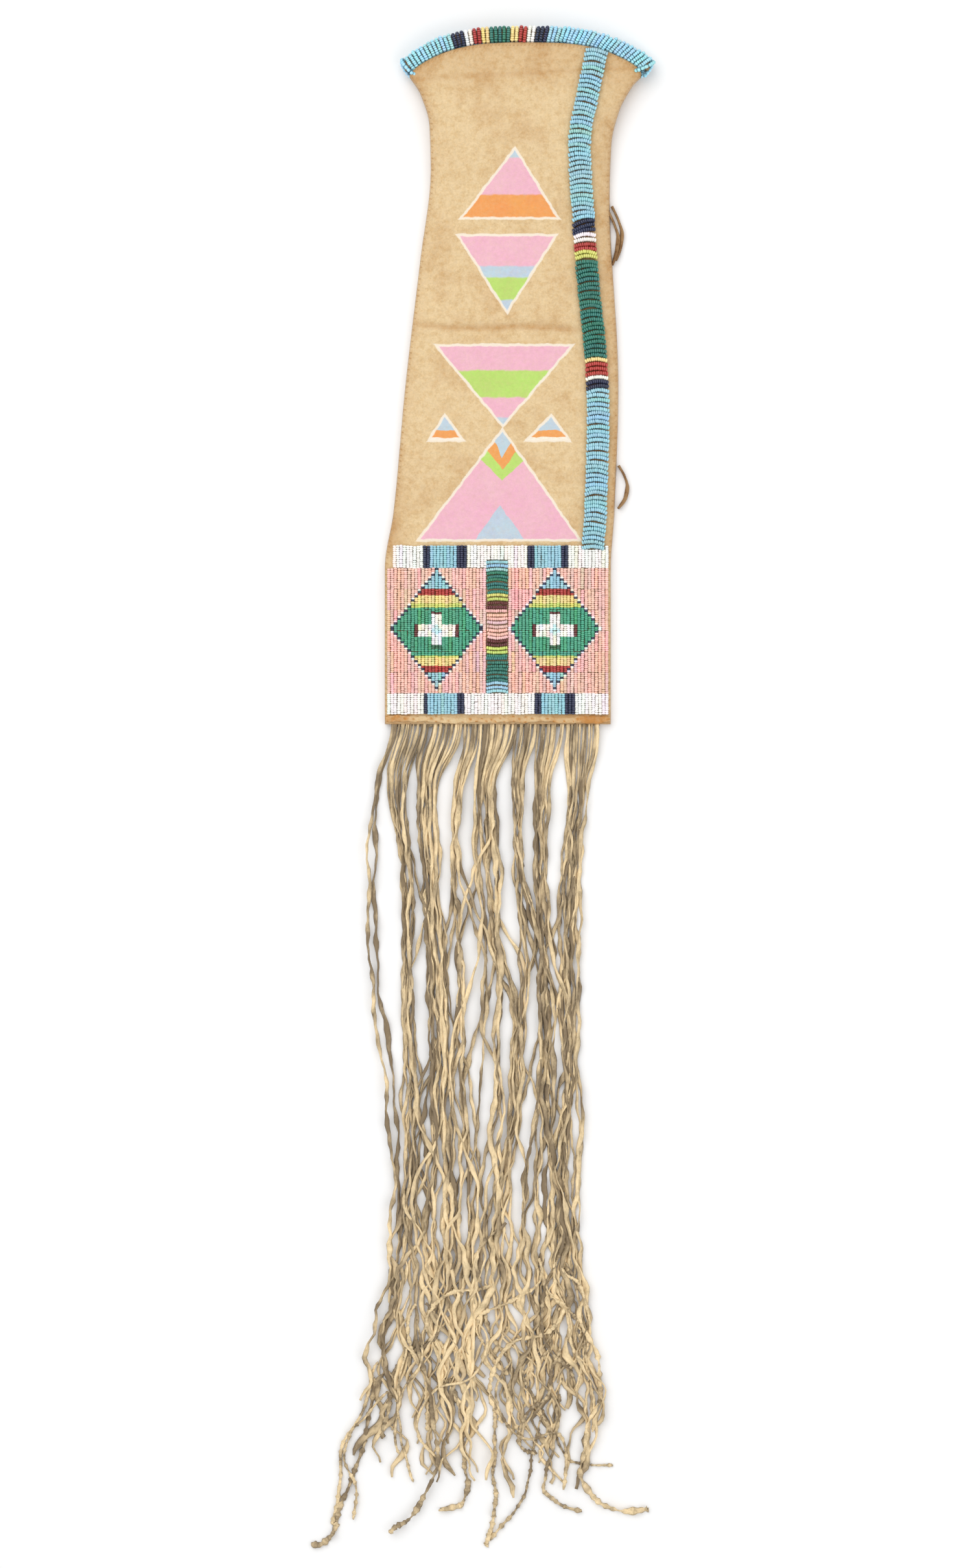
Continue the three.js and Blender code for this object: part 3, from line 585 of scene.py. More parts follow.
def tanned_grain(name):
    """Grain of a tanned hide, from a place in millimetres: cloudy and mottled patches between a light and a
    dark colour, darker by the Handled amount, which on the front hide also holds painted shade, with fine
    flecks and open pores."""
    group, tree, given, out = node_group(
        name,
        {"Place": "Vector", "Light": "Color", "Dark": "Color", "Handled": "Float"},
        {"Colour": "Color", "Height": "Float", "Roughness": "Float"},
    )
    cloud = tree.noise(given["Place"], 0.045, 5.0, 0.6)
    fleck = tree.noise(given["Place"], 0.7, 6.0, 0.7)
    pores = tree.cells(given["Place"], 1.1)
    mottle = tree.noise(given["Place"], 0.24, 4.0, 0.75)
    patches = tree.maths("MULTIPLY", tree.step(cloud, 0.42, 0.7), 0.36)
    patches = tree.maths("MULTIPLY_ADD", tree.step(mottle, 0.4, 0.72), 0.42, patches)
    handled = tree.maths("MULTIPLY", given["Handled"], tree.maths("MULTIPLY_ADD", fleck, 0.9, 0.5))
    amount = tree.maths("MINIMUM", tree.maths("ADD", patches, handled), 1.0)
    colour = tree.mix(amount, given["Light"], given["Dark"])
    shade = tree.maths("MULTIPLY_ADD", fleck, 0.62, 0.72)
    blue = tree.maths("MULTIPLY", shade, tree.maths("MULTIPLY_ADD", mottle, -0.22, 1.12))
    tree.join(tree.mix(1.0, colour, tree.rgb(shade, shade, blue), "MULTIPLY"), out["Colour"])
    tree.join(tree.maths("MULTIPLY_ADD", pores, 0.35, fleck), out["Height"])
    tree.join(tree.maths("MULTIPLY_ADD", fleck, 0.2, 0.74), out["Roughness"])
    return group


def bead_glass(name):
    """Glass of a seed bead: the colour of the glass times the bead's shade, which is its own tone with
    painted shade on its sides, clouded a little by handling."""
    group, tree, given, out = node_group(
        name,
        {"Place": "Vector", "Colour": "Color", "Shade": "Vector"},
        {"Colour": "Color", "Roughness": "Float"},
    )
    film = tree.noise(given["Place"], 0.9, 3.0, 0.6)
    clouded = tree.maths("MULTIPLY_ADD", film, 0.16, 0.92)
    own = tree.mix(1.0, given["Colour"], given["Shade"], "MULTIPLY")
    tree.join(tree.mix(1.0, own, tree.rgb(clouded, clouded, clouded), "MULTIPLY"), out["Colour"])
    tree.join(tree.maths("MULTIPLY_ADD", film, 0.25, 0.2), out["Roughness"])
    return group


def new_material(name, **constants):
    """An empty material with a Principled shader whose constants are set, with its tree and its shader."""
    material = bpy.data.materials.new(name)
    material.use_nodes = True
    tree = Tree(material.node_tree)
    shader = material.node_tree.nodes["Principled BSDF"]
    for key, value in constants.items():
        shader.inputs[key.replace("_", " ")].default_value = value
    return material, tree, shader


def millimetres(tree):
    """The object's own coordinates in the pieces' millimetres."""
    metres = tree.add("ShaderNodeTexCoord").outputs["Object"]
    return tree.vector("SUBTRACT", tree.scaled(metres, 1000.0), tuple(ORIGIN))


def show(tree, node, shader):
    """Joins a node's colour and roughness to the shader."""
    tree.join(node.outputs["Colour"], shader.inputs["Base Color"])
    tree.join(node.outputs["Roughness"], shader.inputs["Roughness"])


# Depth of a hide's grain, in metres, and the sheen of the bag's two hides

GRAIN_DEPTH = 0.0003
SHEEN = {"Sheen_Weight": 0.15, "Sheen_Roughness": 0.6}


def tanned_material(name, light, dark, handled, place=None, **constants):
    """Tanned hide. Its darkening, from handling and on the front hide also painted shade, is a number or the
    name of an attribute, and place the name of an attribute that stands in for the object's own coordinates."""
    material, tree, shader = new_material(name, **constants)
    grain = tree.group(tanned_grain, {
        "Place": tree.attribute(place, "Vector") if place else millimetres(tree),
        "Light": light,
        "Dark": dark,
        "Handled": tree.attribute(handled, "Fac") if isinstance(handled, str) else handled,
    })
    show(tree, grain, shader)
    sockets = {"Height": grain.outputs["Height"], "Distance": GRAIN_DEPTH, "Strength": 1.0}
    tree.join(tree.add("ShaderNodeBump", sockets).outputs[0], shader.inputs["Normal"])
    return material, tree, shader, grain


# Painted figures: the apex, the base as (left, right, level), the bands from the apex and where each ends

LARGE_LEVEL = PANEL_TOP + 3.8
LARGE_APEX = (3, LARGE_LEVEL + 68.6)
LARGE_BASE = (-49.6, 51.2, LARGE_LEVEL)
FIGURES = (
    ((10.9, 356), (-22.6, 37.7, 313.4), ("blue", "pink", "orange"), (0.12, 0.66)),
    ((5.7, 254), (-24.6, 36.2, 302), ("blue", "green", "blue", "pink"), (0.15, 0.45, 0.6)),
    ((3.2, 182.4), (-38.4, 46.2, 232.6), ("blue", "pink", "green", "pink"), (0.1, 0.35, 0.69)),
    ((-33.4, 188.2), (-43, -22.4, 173.2), ("blue", "orange", "outline"), (0.6, 0.9)),
    ((33.6, 188.2), (19, 44.6, 173.2), ("blue", "orange", "outline"), (0.6, 0.88)),
    (LARGE_APEX, LARGE_BASE, ("pink",), ()),
)

# The chevrons of the large triangle, as the heights from its apex where their arms end and where they point,
# and the small triangle on its base, as X and Y of the apex and the slope of its sides

CHEVRONS = (("green", -18.5, -31.5), ("orange", -12.5, -24.5), ("blue", -7, -17))
BASE_TRIANGLE = (1.4, PANEL_TOP + 25.4, 1.36)

# Half the width over which a painted edge fades, and how much of the cover is worn off in places

SOFT_EDGE = 0.35
PAINT_WEAR = 0.16


def triangle_depth(tree, place, points):
    """How far inside a triangle a place lies: the least of its distances from the three sides."""
    points = np.array(points, float)
    centre = points.mean(axis=0)
    depths = []
    for start, end in zip(points, np.roll(points, -1, axis=0)):
        normal = unit(np.array([start[1] - end[1], end[0] - start[0]]))
        if np.dot(normal, centre - start) < 0:
            normal = -normal
        along = tree.vector("DOT_PRODUCT", place, (float(normal[0]), float(normal[1]), 0.0))
        depths.append(tree.maths("SUBTRACT", along, float(np.dot(normal, start))))
    return tree.maths("MINIMUM", tree.maths("MINIMUM", depths[0], depths[1]), depths[2])


def painted_figures(name):
    """The painted triangles over the hide's colour, from a place in millimetres whose edges are made to
    stray."""
    group, tree, given, out = node_group(name, {"Place": "Vector", "Hide": "Color"}, {"Colour": "Color"})
    paint = settings().paint
    colours = {key: tuple(getattr(paint, key)) for key in ("pink", "orange", "green", "blue", "outline")}
    spread = {"Vector": given["Place"], "Scale": 0.16, "Detail": 4.0}
    stray = tree.add("ShaderNodeTexNoise", spread).outputs["Color"]
    offset = tree.scaled(tree.vector("SUBTRACT", stray, (0.5, 0.5, 0.5)), paint.wobble * 4000)
    place = tree.vector("ADD", given["Place"], offset)
    parts = tree.add("ShaderNodeSeparateXYZ", {0: place}).outputs
    whole = tree.step(tree.noise(given["Place"], 0.5, 5.0, 0.7), 0.68, 0.4)
    cover = tree.maths("MULTIPLY_ADD", whole, PAINT_WEAR, paint.cover - PAINT_WEAR)
    mottle = tree.maths("MULTIPLY_ADD", tree.noise(given["Place"], 0.4, 5.0, 0.7), 0.3, 0.85)
    thick = tree.maths("MULTIPLY_ADD", tree.noise(given["Place"], 0.07, 3.0, 0.6), 0.3, 0.85)
    mottled = tree.rgb(mottle, tree.maths("MULTIPLY", mottle, thick), mottle)
    colour = given["Hide"]
    for apex, (left, right, level), bands, edges in FIGURES:
        depth = triangle_depth(tree, place, (apex, (left, level), (right, level)))
        height = tree.maths("MULTIPLY_ADD", parts["Y"], 1 / (level - apex[1]), apex[1] / (apex[1] - level))
        fill = tree.bands(height, [colours[band] for band in bands], edges, 0.012)
        if apex == LARGE_APEX:
            fill = large_fill(tree, parts, colours, fill)
        fill = tree.mix(1.0, fill, mottled, "MULTIPLY")
        inside = tree.step(depth, -0.25, SOFT_EDGE)
        colour = tree.mix(tree.maths("MULTIPLY", inside, cover), colour, fill)
        away = tree.maths("ABSOLUTE", tree.maths("ADD", depth, 0.4))
        line = tree.maths("MULTIPLY", tree.step(away, 1.2, 0.45), 0.78)
        colour = tree.mix(line, colour, colours["outline"])
    tree.join(colour, out["Colour"])
    return group


def large_fill(tree, parts, colours, fill):
    """The large triangle's colours: nested chevrons under the apex, each bounded by two slanting lines that
    meet in the middle, and a small triangle on the base."""

    def slanting(middle_x, slope, peak):
        aside = tree.maths("ABSOLUTE", tree.maths("SUBTRACT", parts["X"], float(middle_x)))
        return tree.maths("MULTIPLY_ADD", aside, slope, peak)

    def beyond(value, edge):
        return tree.step(tree.maths("SUBTRACT", value, edge), -SOFT_EDGE, SOFT_EDGE)

    x0, top = LARGE_APEX
    spread = (LARGE_BASE[1] - LARGE_BASE[0]) / 2 / (top - LARGE_BASE[2])
    for name, arm, point in CHEVRONS:
        line = slanting(x0, (arm - point) / (-arm * spread), top + point)
        fill = tree.mix(beyond(parts["Y"], line), fill, colours[name])
    x1, peak, steep = BASE_TRIANGLE
    return tree.mix(beyond(slanting(x1, -steep, peak), parts["Y"]), fill, colours["blue"])


# The hides


def sheet_points(u, row, side, shrink):
    """One face of a hide from seam to seam: u runs across from -1 to 1 and row along the bag. The rows bend
    into the mouth's arch above the waist, and the height follows a superellipse across the bag."""
    bend = smooth(row, on_body(0.87), MOUTH_HEIGHT)
    y = row + (hide_end(u) - MOUTH_HEIGHT) * bend
    x = middle(y) + u * (half_width(y) - shrink)
    rise, power = (front_rise, front_fullness) if side > 0 else (depth_below_seam, back_fullness)
    height = np.maximum(0, rise(y) - shrink) * fullness(u, power(y))
    z = seam_height(y) + side * (SEAM_GAP / 2 + height)
    if side > 0:
        z = z + relief(x, y)
    return np.stack([x, y, z], axis=-1)


# Columns and rows of the hides

FRONT_GRID = (112, 300)
BACK_GRID = (64, 170)


def hide_shell(side, columns, rows):
    """The points and faces of a hide, on one grid for both its faces, closer together at the seams."""
    u = -np.cos(np.linspace(0, np.pi, columns))[None, :]
    u = 0.5 * u + 0.5 * np.linspace(-1, 1, columns)[None, :]
    row = np.linspace(-LIP_LENGTH, MOUTH_HEIGHT, rows)[:, None]
    u, row = np.broadcast_arrays(u, row)
    outer, inner = sheet_points(u, row, side, 0), sheet_points(u, row, side, HIDE_THICKNESS)
    return shell(outer, inner) if side > 0 else shell(inner, outer)


def handled_amount(points):
    """How dark a place is: darker beyond the stripe, along the seams, on the bottom lip with a stain, and up
    the neck; painted shade under the stripe's beads, in the folds, in the lower left corner and under the
    roll."""
    x, y = points[..., 0], points[..., 1]
    u = share_across(x, y)
    aside = x - stripe_centre(y)
    beyond = smooth(aside, 5, 8) * smooth(y, PANEL_TOP - 2, PANEL_TOP) * (0.26 - 0.14 * smooth(y, 360, 400))
    # Painted shade: the hide under the stripe's beads is darkened
    under_stripe = (np.abs(aside) < STRIPE_WIDTH / 2 - 0.8) & (y > PANEL_TOP)
    # Painted shade in the crease of the lower left corner
    corner = 0.6 * blot(x, y, (-66, 118), (5, 14))
    # Darker up the neck, with painted shade in the faint fold below the mouth
    neck = 0.3 * smooth(y, 385, 412) + 0.25 * neck_fold(x, y)
    seams = 0.4 * np.exp(-to_seam(u, y) / 2.5)
    lip = 0.4 * (1 - smooth(y, -0.5, 1.5)) + 0.9 * blot(x, y, (56, -3), (12, 4))
    # Painted shade along the hide just under the roll's lower edge
    roll_shadow = 0.45 * np.exp(-(hide_end(u) - y) / 2.5)
    # The fold adds painted shade along its crease
    return np.clip(beyond + seams + lip + 0.6 * fold(x, y) + roll_shadow + under_stripe + corner + neck, 0, 1)


PAINT_NODES = (
    "paint_first_triangle_pink", "paint_first_triangle_orange",
    "paint_second_triangle_green", "paint_second_triangle_blue", "paint_second_triangle_pink",
    "paint_third_triangle_lower_pink", "paint_third_triangle_green", "paint_third_triangle_upper_pink",
    "paint_small_left_triangle_blue", "paint_small_right_triangle_blue",
    "paint_large_blue_diamond", "paint_large_orange_chevron", "paint_large_green_chevron",
    "paint_large_pink", "paint_large_base_blue",
)


def flat_area():
    """The plan area of a hide in square metres: its width summed along the bag."""
    y = np.linspace(-LIP_LENGTH, MOUTH_HEIGHT + MOUTH_ARCH / 2, 400)
    return float(np.sum(2 * half_width(y)) * (y[1] - y[0])) * 1e-6


class PIPEBAG_OT_front_hide(bpy.types.Operator):
    """Make the front hide with its painted figures"""

    bl_idname = "pipe_bag.front_hide"
    bl_label = "Front hide"

    def execute(self, context):
        hide = settings().hide
        points, faces = hide_shell(1, *FRONT_GRID)
        # The darkening holds painted shade in the folds, under the stripe and under the roll, as well as
        # darker hide
        values = {"handled": handled_amount(points)}
        look = tanned_material("painted_hide", hide.colour, hide.handled, "handled", **SHEEN)
        material, tree, shader, grain = look
        sockets = {"Place": millimetres(tree), "Hide": grain.outputs["Colour"]}
        paint = tree.group(painted_figures, sockets)
        tree.join(paint.outputs["Colour"], shader.inputs["Base Color"])
        add_piece("hide_front", points, faces, material, ("front_hide", *PAINT_NODES), values)
        return {"FINISHED"}


class PIPEBAG_OT_back_hide(bpy.types.Operator):
    """Make the plain back hide"""

    bl_idname = "pipe_bag.back_hide"
    bl_label = "Back hide"

    def execute(self, context):
        """Its seams are darkened by handling, and its middle a little."""
        hide = settings().hide
        points, faces = hide_shell(-1, *BACK_GRID)
        x, y = points[:, 0], points[:, 1]
        edge = half_width(y) - np.abs(x - middle(y))
        values = {"handled": np.clip(0.25 + 0.4 * np.exp(-edge / 3), 0, 1)}
        material = tanned_material("plain_hide", hide.colour, hide.handled, "handled", **SHEEN)[0]
        add_piece("hide_back", points, faces, material, ("back_hide",), values)
        return {"FINISHED"}


# Seed beads: a barrel's rings as (place along it, share of its radius), the sides of its section, the gap
# under a bead, and how light the painted shade leaves a bead's sides, for three of the glasses and for the
# others

BARREL = ((-0.5, 0.62), (-0.28, 0.97), (0.28, 0.97), (0.5, 0.62))
BEAD_SIDES = 8
BEAD_SEAT = 0.3
PAINTED_SIDE_SHADE = {"white": 0.78, "pink": 0.72, "yellow": 0.66}
PAINTED_OTHER_SIDE_SHADE = 0.46

# Each kind of bead is made of one of the glasses, times a shade

GLASSES = ("blue", "navy", "white", "red", "yellow", "green", "jade", "pink")
KINDS = {glass: (glass, (1, 1, 1)) for glass in GLASSES} | {
    "brown": ("red", (0.31, 0.62, 0.74)),
    "lime": ("yellow", (0.76, 0.96, 0.60)),
    "olive": ("green", (1.3, 0.8, 0.55)),
    "pale": ("blue", (1.75, 1.33, 1.2)),
    # sky: the blue glass made lighter for the roll, painted light where the rounded roll catches the light
    "sky": ("blue", (1.1, 1.16, 1.22)),
}
KIND_NAMES = tuple(KINDS)


def kind(name):
    return KIND_NAMES.index(name)


def by_bounds(value, bounds, kinds):
    """The kind of each bead by where its value falls between rising bounds."""
    return np.array([kind(name) for name in kinds])[np.searchsorted(bounds, value)]


def middles(count):
    """The middles of equal parts between 0 and 1."""
    return (np.arange(count) + 0.5) / count


def barrels(centre, along, up, length, width, sides):
    """Barrels, as barrel by ring by side by point: rings round a middle line, smaller at both ends."""
    place, radius = np.array(BARREL).T
    angle = np.linspace(0, 2 * np.pi, sides, endpoint=False)
    side = np.cross(up, along)
    around = side[:, None] * np.cos(angle)[:, None] + up[:, None] * np.sin(angle)[:, None]
    rings = centre[:, None] + along[:, None] * (length[:, None] * place)[..., None]
    return rings[:, :, None] + around[:, None] * (width[:, None] / 2 * radius)[..., None, None]


class Beads:
    """Beads gathered as arrays: centre, direction of the string, outward direction, size, kind and
    shade."""

    def __init__(self):
        self.parts = []

    def lay(self, points, kinds, seed, up=(0.0, 0.0, 1.0), keep=None, tint=0.05, size=1.0):
        """Lays strings of beads, as string by bead by point. Every bead points along its string."""
        rng = np.random.default_rng(seed)
        look = settings().beads
        uneven = look.uneven
        shape = points.shape[:2]
        along = np.gradient(points, axis=1)
        length = np.linalg.norm(along, axis=-1)
        along = unit(unit(along) + rng.normal(0, uneven, points.shape))
        up = square_to(along, up)
        points = points + rng.normal(0, uneven, points.shape) * (1.1, 1.1, 1.4)
        length = length * rng.normal(1.0, uneven, shape)
        width = size * 1000 * look.diameter * rng.normal(1.0, 0.8 * uneven, shape)
        by_string = rng.normal(0, 1, (shape[0], 1, 3)) * (tint, 0.8 * tint, 1.3 * tint)
        by_bead = rng.normal(0, 0.7 * tint, (*shape, 1))
        shade = 1 + by_string + by_bead + rng.normal(0, 0.2 * tint, points.shape)
        kinds = np.broadcast_to(kinds, shape)
        keep = np.ones(shape, bool) if keep is None else keep
        self.parts.append([a[keep] for a in (points, along, up, length, width, kinds, shade)])

    def make(self, area, nodes):
        """Makes a piece for each glass. Nodes holds the solids that each piece stands for, by glass. A
        bead's sides are painted darker than its top: painted shade between the strings."""
        arrays = [np.concatenate(column) for column in zip(*self.parts)]
        shades = np.array([KINDS[name][1] for name in KIND_NAMES])
        angle = np.linspace(0, 2 * np.pi, BEAD_SIDES, endpoint=False)
        for glass in GLASSES:
            members = [kind(name) for name in KIND_NAMES if KINDS[name][0] == glass]
            *sizes, kinds, shade = (a[np.isin(arrays[5], members)] for a in arrays)
            if not len(kinds):
                continue
            # Painted shade: a bead's lower sides are darker than its top, less so for the white, pink and
            # yellow glass
            side_shade = PAINTED_SIDE_SHADE.get(glass, PAINTED_OTHER_SIDE_SHADE)
            side_shade = side_shade + (1 - side_shade) * smooth(np.sin(angle), -0.2, 0.75)
            sides = np.tile(side_shade, len(kinds) * len(BARREL))[:, None]
            shade = np.repeat(np.clip(shade * shades[kinds], 0, 3), len(BARREL) * BEAD_SIDES, axis=0)
            points = barrels(*sizes, BEAD_SIDES)
            faces = tube_faces(len(kinds), len(BARREL), BEAD_SIDES)
            values = {"shade": shade * sides}
            solids = nodes.get(glass, ())
            name = f"beads_{area}_{glass}"
            add_piece(name, points, faces, bead_material(glass), solids, values)


def bead_material(glass):
    """The glass of one colour, made once."""
    name = "glass_beads_" + glass
    if name in bpy.data.materials:
        return bpy.data.materials[name]
    material, tree, shader = new_material(name, Coat_Weight=0.25, Coat_Roughness=0.15, IOR=1.5)
    node = tree.group(bead_glass, {
        "Place": millimetres(tree),
        "Colour": getattr(settings().beads, glass),
        "Shade": tree.attribute("shade", "Vector"),
    })
    show(tree, node, shader)
    return material


def on_hide(x, y, hump):
    """Bead centres on the front hide: half a bead and the seat above it, plus the hump."""
    z = hide_top(x, y) + BEAD_SEAT + 500 * settings().beads.diameter + hump
    return np.stack([x, y, z], axis=-1)


def upright_strings(start, end, low, high, count, beads, hump, seed):
    """Strings that run along Y, side by side: x by string, y by bead, and a hump over each string's
    middle."""
    rng = np.random.default_rng(seed)
    pitch = (end - start) / count
    string = np.arange(count)[:, None]
    share = middles(beads)[None, :]
    wander = 0.1 * np.sin(share * 3 + string * 1.7)
    x = start + (string + 0.5) * pitch + wander + rng.normal(0, 0.04, (count, 1))
    y = low + (high - low) * share + rng.normal(0, 0.12, (count, 1))
    return on_hide(x, y, hump * (1 - (2 * share - 1) ** 4) + rng.normal(0, 0.06, (count, 1)))


# The field's lanes, the strings of one half and the beads of each in a lane, and its diamonds: half their
# width, half their height, the level of their middle, and the bands of colour from there

FIELD_LANES = 6
FIELD_STRINGS = 29
FIELD_BEADS = 10
DIAMOND_WIDTH = 28.67
DIAMOND_HEIGHT = 37.6
DIAMOND_LEVEL = 54
DIAMOND_BANDS = (-27.3, -23.2, -18.4, -16.3, 13, 15.6, 21, 25.8)
DIAMOND_KINDS = ("blue", "red", "yellow", "lime", "jade", "lime", "yellow", "red", "blue")


def field_kinds(x, y, centre, pitch, length):
    """Pink ground with a stepped diamond round a centre: level bands of colour, a white cross with a pale
    middle and dark ends, a small mark above it and one below, and an edge of dark and white beads that
    climbs string by string. Later marks lie over earlier ones."""
    dx, dy = x - centre, y - DIAMOND_LEVEL
    step = np.round(np.abs(dx) / pitch)
    climb = DIAMOND_HEIGHT * (1 - step * pitch / DIAMOND_WIDTH)
    inside = np.round(climb / length) - np.floor(np.abs(dy) / length)
    tall = np.abs(dy + 0.6)
    level = (dy > -4.6) & (dy < 2.8)
    marks = (
        ((step <= 5) & level | (step <= 1) & (tall < 9.8), "white"),
        ((step <= 1) & (tall < 1.4) | (step == 0) & (tall < 3.4), "pale"),
        ((step == 6) & level | (step <= 1) & (dy >= 9.2) & (dy < 10.8), "brown"),
        ((step <= 1) & (dy <= -10.4) & (dy > -12.4), "olive"),
        (inside <= 1, "navy"),
        (inside <= 0, "white"),
        ((inside <= -1) | (climb <= -3.8), "pink"),
    )
    kinds = by_bounds(dy, DIAMOND_BANDS, DIAMOND_KINDS)
    for where, name in marks:
        kinds = np.where(where, kind(name), kinds)
    return kinds


class PIPEBAG_OT_panel_beads(bpy.types.Operator):
    """Stitch the panel: two white lanes, the pink field with two diamonds, and the lane up the middle"""

    bl_idname = "pipe_bag.panel_beads"
    bl_label = "Panel beadwork"

    def execute(self, context):
        half_lane = CENTRE_LANE_WIDTH / 2 - SEAM_GAP
        self.borders()
        self.field("left", -PANEL_RIGHT, CENTRE_LANE_MIDDLE - half_lane, -38.2)
        self.field("right", CENTRE_LANE_MIDDLE + half_lane, PANEL_RIGHT, 35.8)
        self.centre_lane()
        return {"FINISHED"}

    def borders(self):
        """The lanes below and above the field. The upper one has no beads where the two other lanes cover
        it."""
        beads = Beads()
        names = ("white", "navy", "blue", "navy", "white", "navy", "blue", "navy", "white")
        low = upright_strings(
            -PANEL_RIGHT, PANEL_RIGHT, 0.2, BORDER_HEIGHT - 0.1, count=66, beads=10, hump=0.5, seed=21
        )
        high = upright_strings(
            3.6 - PANEL_RIGHT, PANEL_RIGHT, FIELD_TOP + 0.1, PANEL_TOP, count=64, beads=11, hump=0.5, seed=23
        )
        x, y = high[..., 0], high[..., 1]
        under_lane = (np.abs(x - CENTRE_LANE_MIDDLE) < 7.2) & (y < 97.2)
        under_stripe = (np.abs(x - stripe_centre(y)) < 7.6) & (y > 103.8)
        for points, bounds, seed, keep in (
            (low, (-47.3, -43.9, -26.2, -21, 22.6, 26.6, 43.3, 47.8), 22, None),
            (high, (-47.3, -42.8, -25.4, -20.1, 17.9, 22.9, 40.6, 45.1), 24, ~(under_lane | under_stripe)),
        ):
            string = np.mean(points[..., 0], axis=1, keepdims=True)
            beads.lay(points, by_bounds(string, bounds, names), seed, keep=keep, tint=0.03, size=1.1)
        ends = ("bottom", "top")
        beads.make("border", {
            "white": [f"border_{end}_white_{part}" for end in ends for part in ("left", "middle", "right")],
            "blue": [f"border_{end}_blue_{part}" for end in ends for part in ("left", "right")],
        })

    def field(self, name, start, end, centre):
        """One half of the pink field, lane by lane, with its diamond centred on one of the strings."""
        beads = Beads()
        height = FIELD_HEIGHT / FIELD_LANES
        length = height / FIELD_BEADS
        pitch = (end - start) / FIELD_STRINGS
        centre = start + (np.round((centre - start) / pitch - 0.5) + 0.5) * pitch
        string = start + (np.arange(FIELD_STRINGS)[:, None] + 0.5) * pitch
        for number in range(FIELD_LANES):
            low = BORDER_HEIGHT + number * FIELD_HEIGHT / FIELD_LANES
            high = low + height
            seed = 31 + number + 10 * len(name)
            points = upright_strings(
                start, end, low + 0.1, high - 0.1,
                count=FIELD_STRINGS, beads=FIELD_BEADS, hump=0.4, seed=seed,
            )
            row = low + (np.arange(FIELD_BEADS)[None, :] + 0.5) * length
            kinds = field_kinds(string, row, centre, pitch, length)
            beads.lay(points, kinds, seed + 50, tint=0.06, size=1.1)
        beads.make("field_" + name, {
            "pink": ["field_pink_" + name],
            "jade": [f"diamond_{name}_green"],
            "white": [f"diamond_{name}_cross"],
            "yellow": [f"diamond_{name}_top", f"diamond_{name}_bottom"],
        })

    def centre_lane(self):
        """Level strings, stacked along Y, each humped over its middle and a little bowed."""
        beads = Beads()
        rows, count, low, high = 36, 11, 12.9, 96.8
        rng = np.random.default_rng(61)
        share, row = middles(count)[None, :], middles(rows)[:, None]
        arc = 1 - (2 * share - 1) ** 2
        y = low + (high - low) * row + 1.1 * arc * np.sin(1.2 + row * 8) + rng.normal(0, 0.16, (rows, 1))
        width = 13.6 - 0.8 * np.sin(np.pi * row)
        x = CENTRE_LANE_MIDDLE + (share - 0.5) * width + rng.normal(0, 0.22, (rows, 1))
        over_border = 0.9 * smooth(y, 90.5, 94)
        points = on_hide(x, y, 0.15 + 0.8 * arc + over_border)
        bounds = (20.9, 38.5, 44.1, 47.2, 67.3, 72.3, 76.1, 90)
        names = ("blue", "green", "lime", "brown", "pink", "brown", "lime", "green", "blue")
        beads.lay(points, by_bounds(low + (high - low) * row, bounds, names), 62, tint=0.07, size=1.02)
        beads.make("centre", {
            "green": ["centre_lane_lower_green", "centre_lane_upper_green"],
            "pink": ["centre_lane_pink"],
        })


class PIPEBAG_OT_stripe_beads(bpy.types.Operator):
    """Stitch the lane of beads that runs from the mouth down to the panel"""

    bl_idname = "pipe_bag.stripe_beads"
    bl_label = "Stripe beadwork"

    def execute(self, context):
        """Strings across the lane: each is square to the lane's middle line, bowed towards the mouth and
        humped. One of them lies askew."""
        beads = Beads()
        low, high, pitch, count = 104.4, STRIPE_TOP + 0.6, 2.8, 11
        rows = int(round((high - low) / pitch))
        rng = np.random.default_rng(71)
        level = low + (np.arange(rows)[:, None] + 0.5) * (high - low) / rows
        share = middles(count)[None, :]
        across = (share - 0.5) * STRIPE_WIDTH * rng.normal(1, 0.012, (rows, 1))
        lean = np.arctan((stripe_centre(level + 1) - stripe_centre(level - 1)) / 2)
        arc = 1 - (2 * share - 1) ** 2
        bow = rng.normal(1.3, 0.25, (rows, 1)) * arc + rng.normal(0, 0.1, (rows, 1))
        tilt = 0.35 * np.sin(level / 5.3) + rng.normal(0, 0.18, (rows, 1)) + 1.5 * bell(level - 309, 6)
        bow = bow + tilt * (2 * share - 1)
        x = stripe_centre(level) + across * np.cos(lean) + rng.normal(0, 0.15, (rows, 1))
        y = level - across * np.sin(lean) + bow - 0.9
        over_panel = 0.9 * (1 - smooth(y, 105, 108.5))
        points = on_hide(x, y, 0.2 + 0.75 * arc + over_panel + rng.normal(0, 0.14, (rows, 1)))
        bounds = (205.4, 211.6, 214.8, 221.8, 224.9, 287.8, 292.7, 298.9, 303.4, 311.2)
        names = ("blue", "navy", "white", "red", "yellow", "green", "lime", "red", "white", "navy", "blue")
        shown = y <= hide_end(share_across(x, y)) + 0.2
        beads.lay(points, by_bounds(level, bounds, names), 72, keep=shown, tint=0.045, size=1.3)
        both = {
            glass: [f"stripe_{part}_{glass}" for part in ("lower", "upper")]
            for glass in ("blue", "navy", "white", "red")
        }
        beads.make("stripe", both | {"green": ["stripe_green"]})
        return {"FINISHED"}


# The roll round the mouth


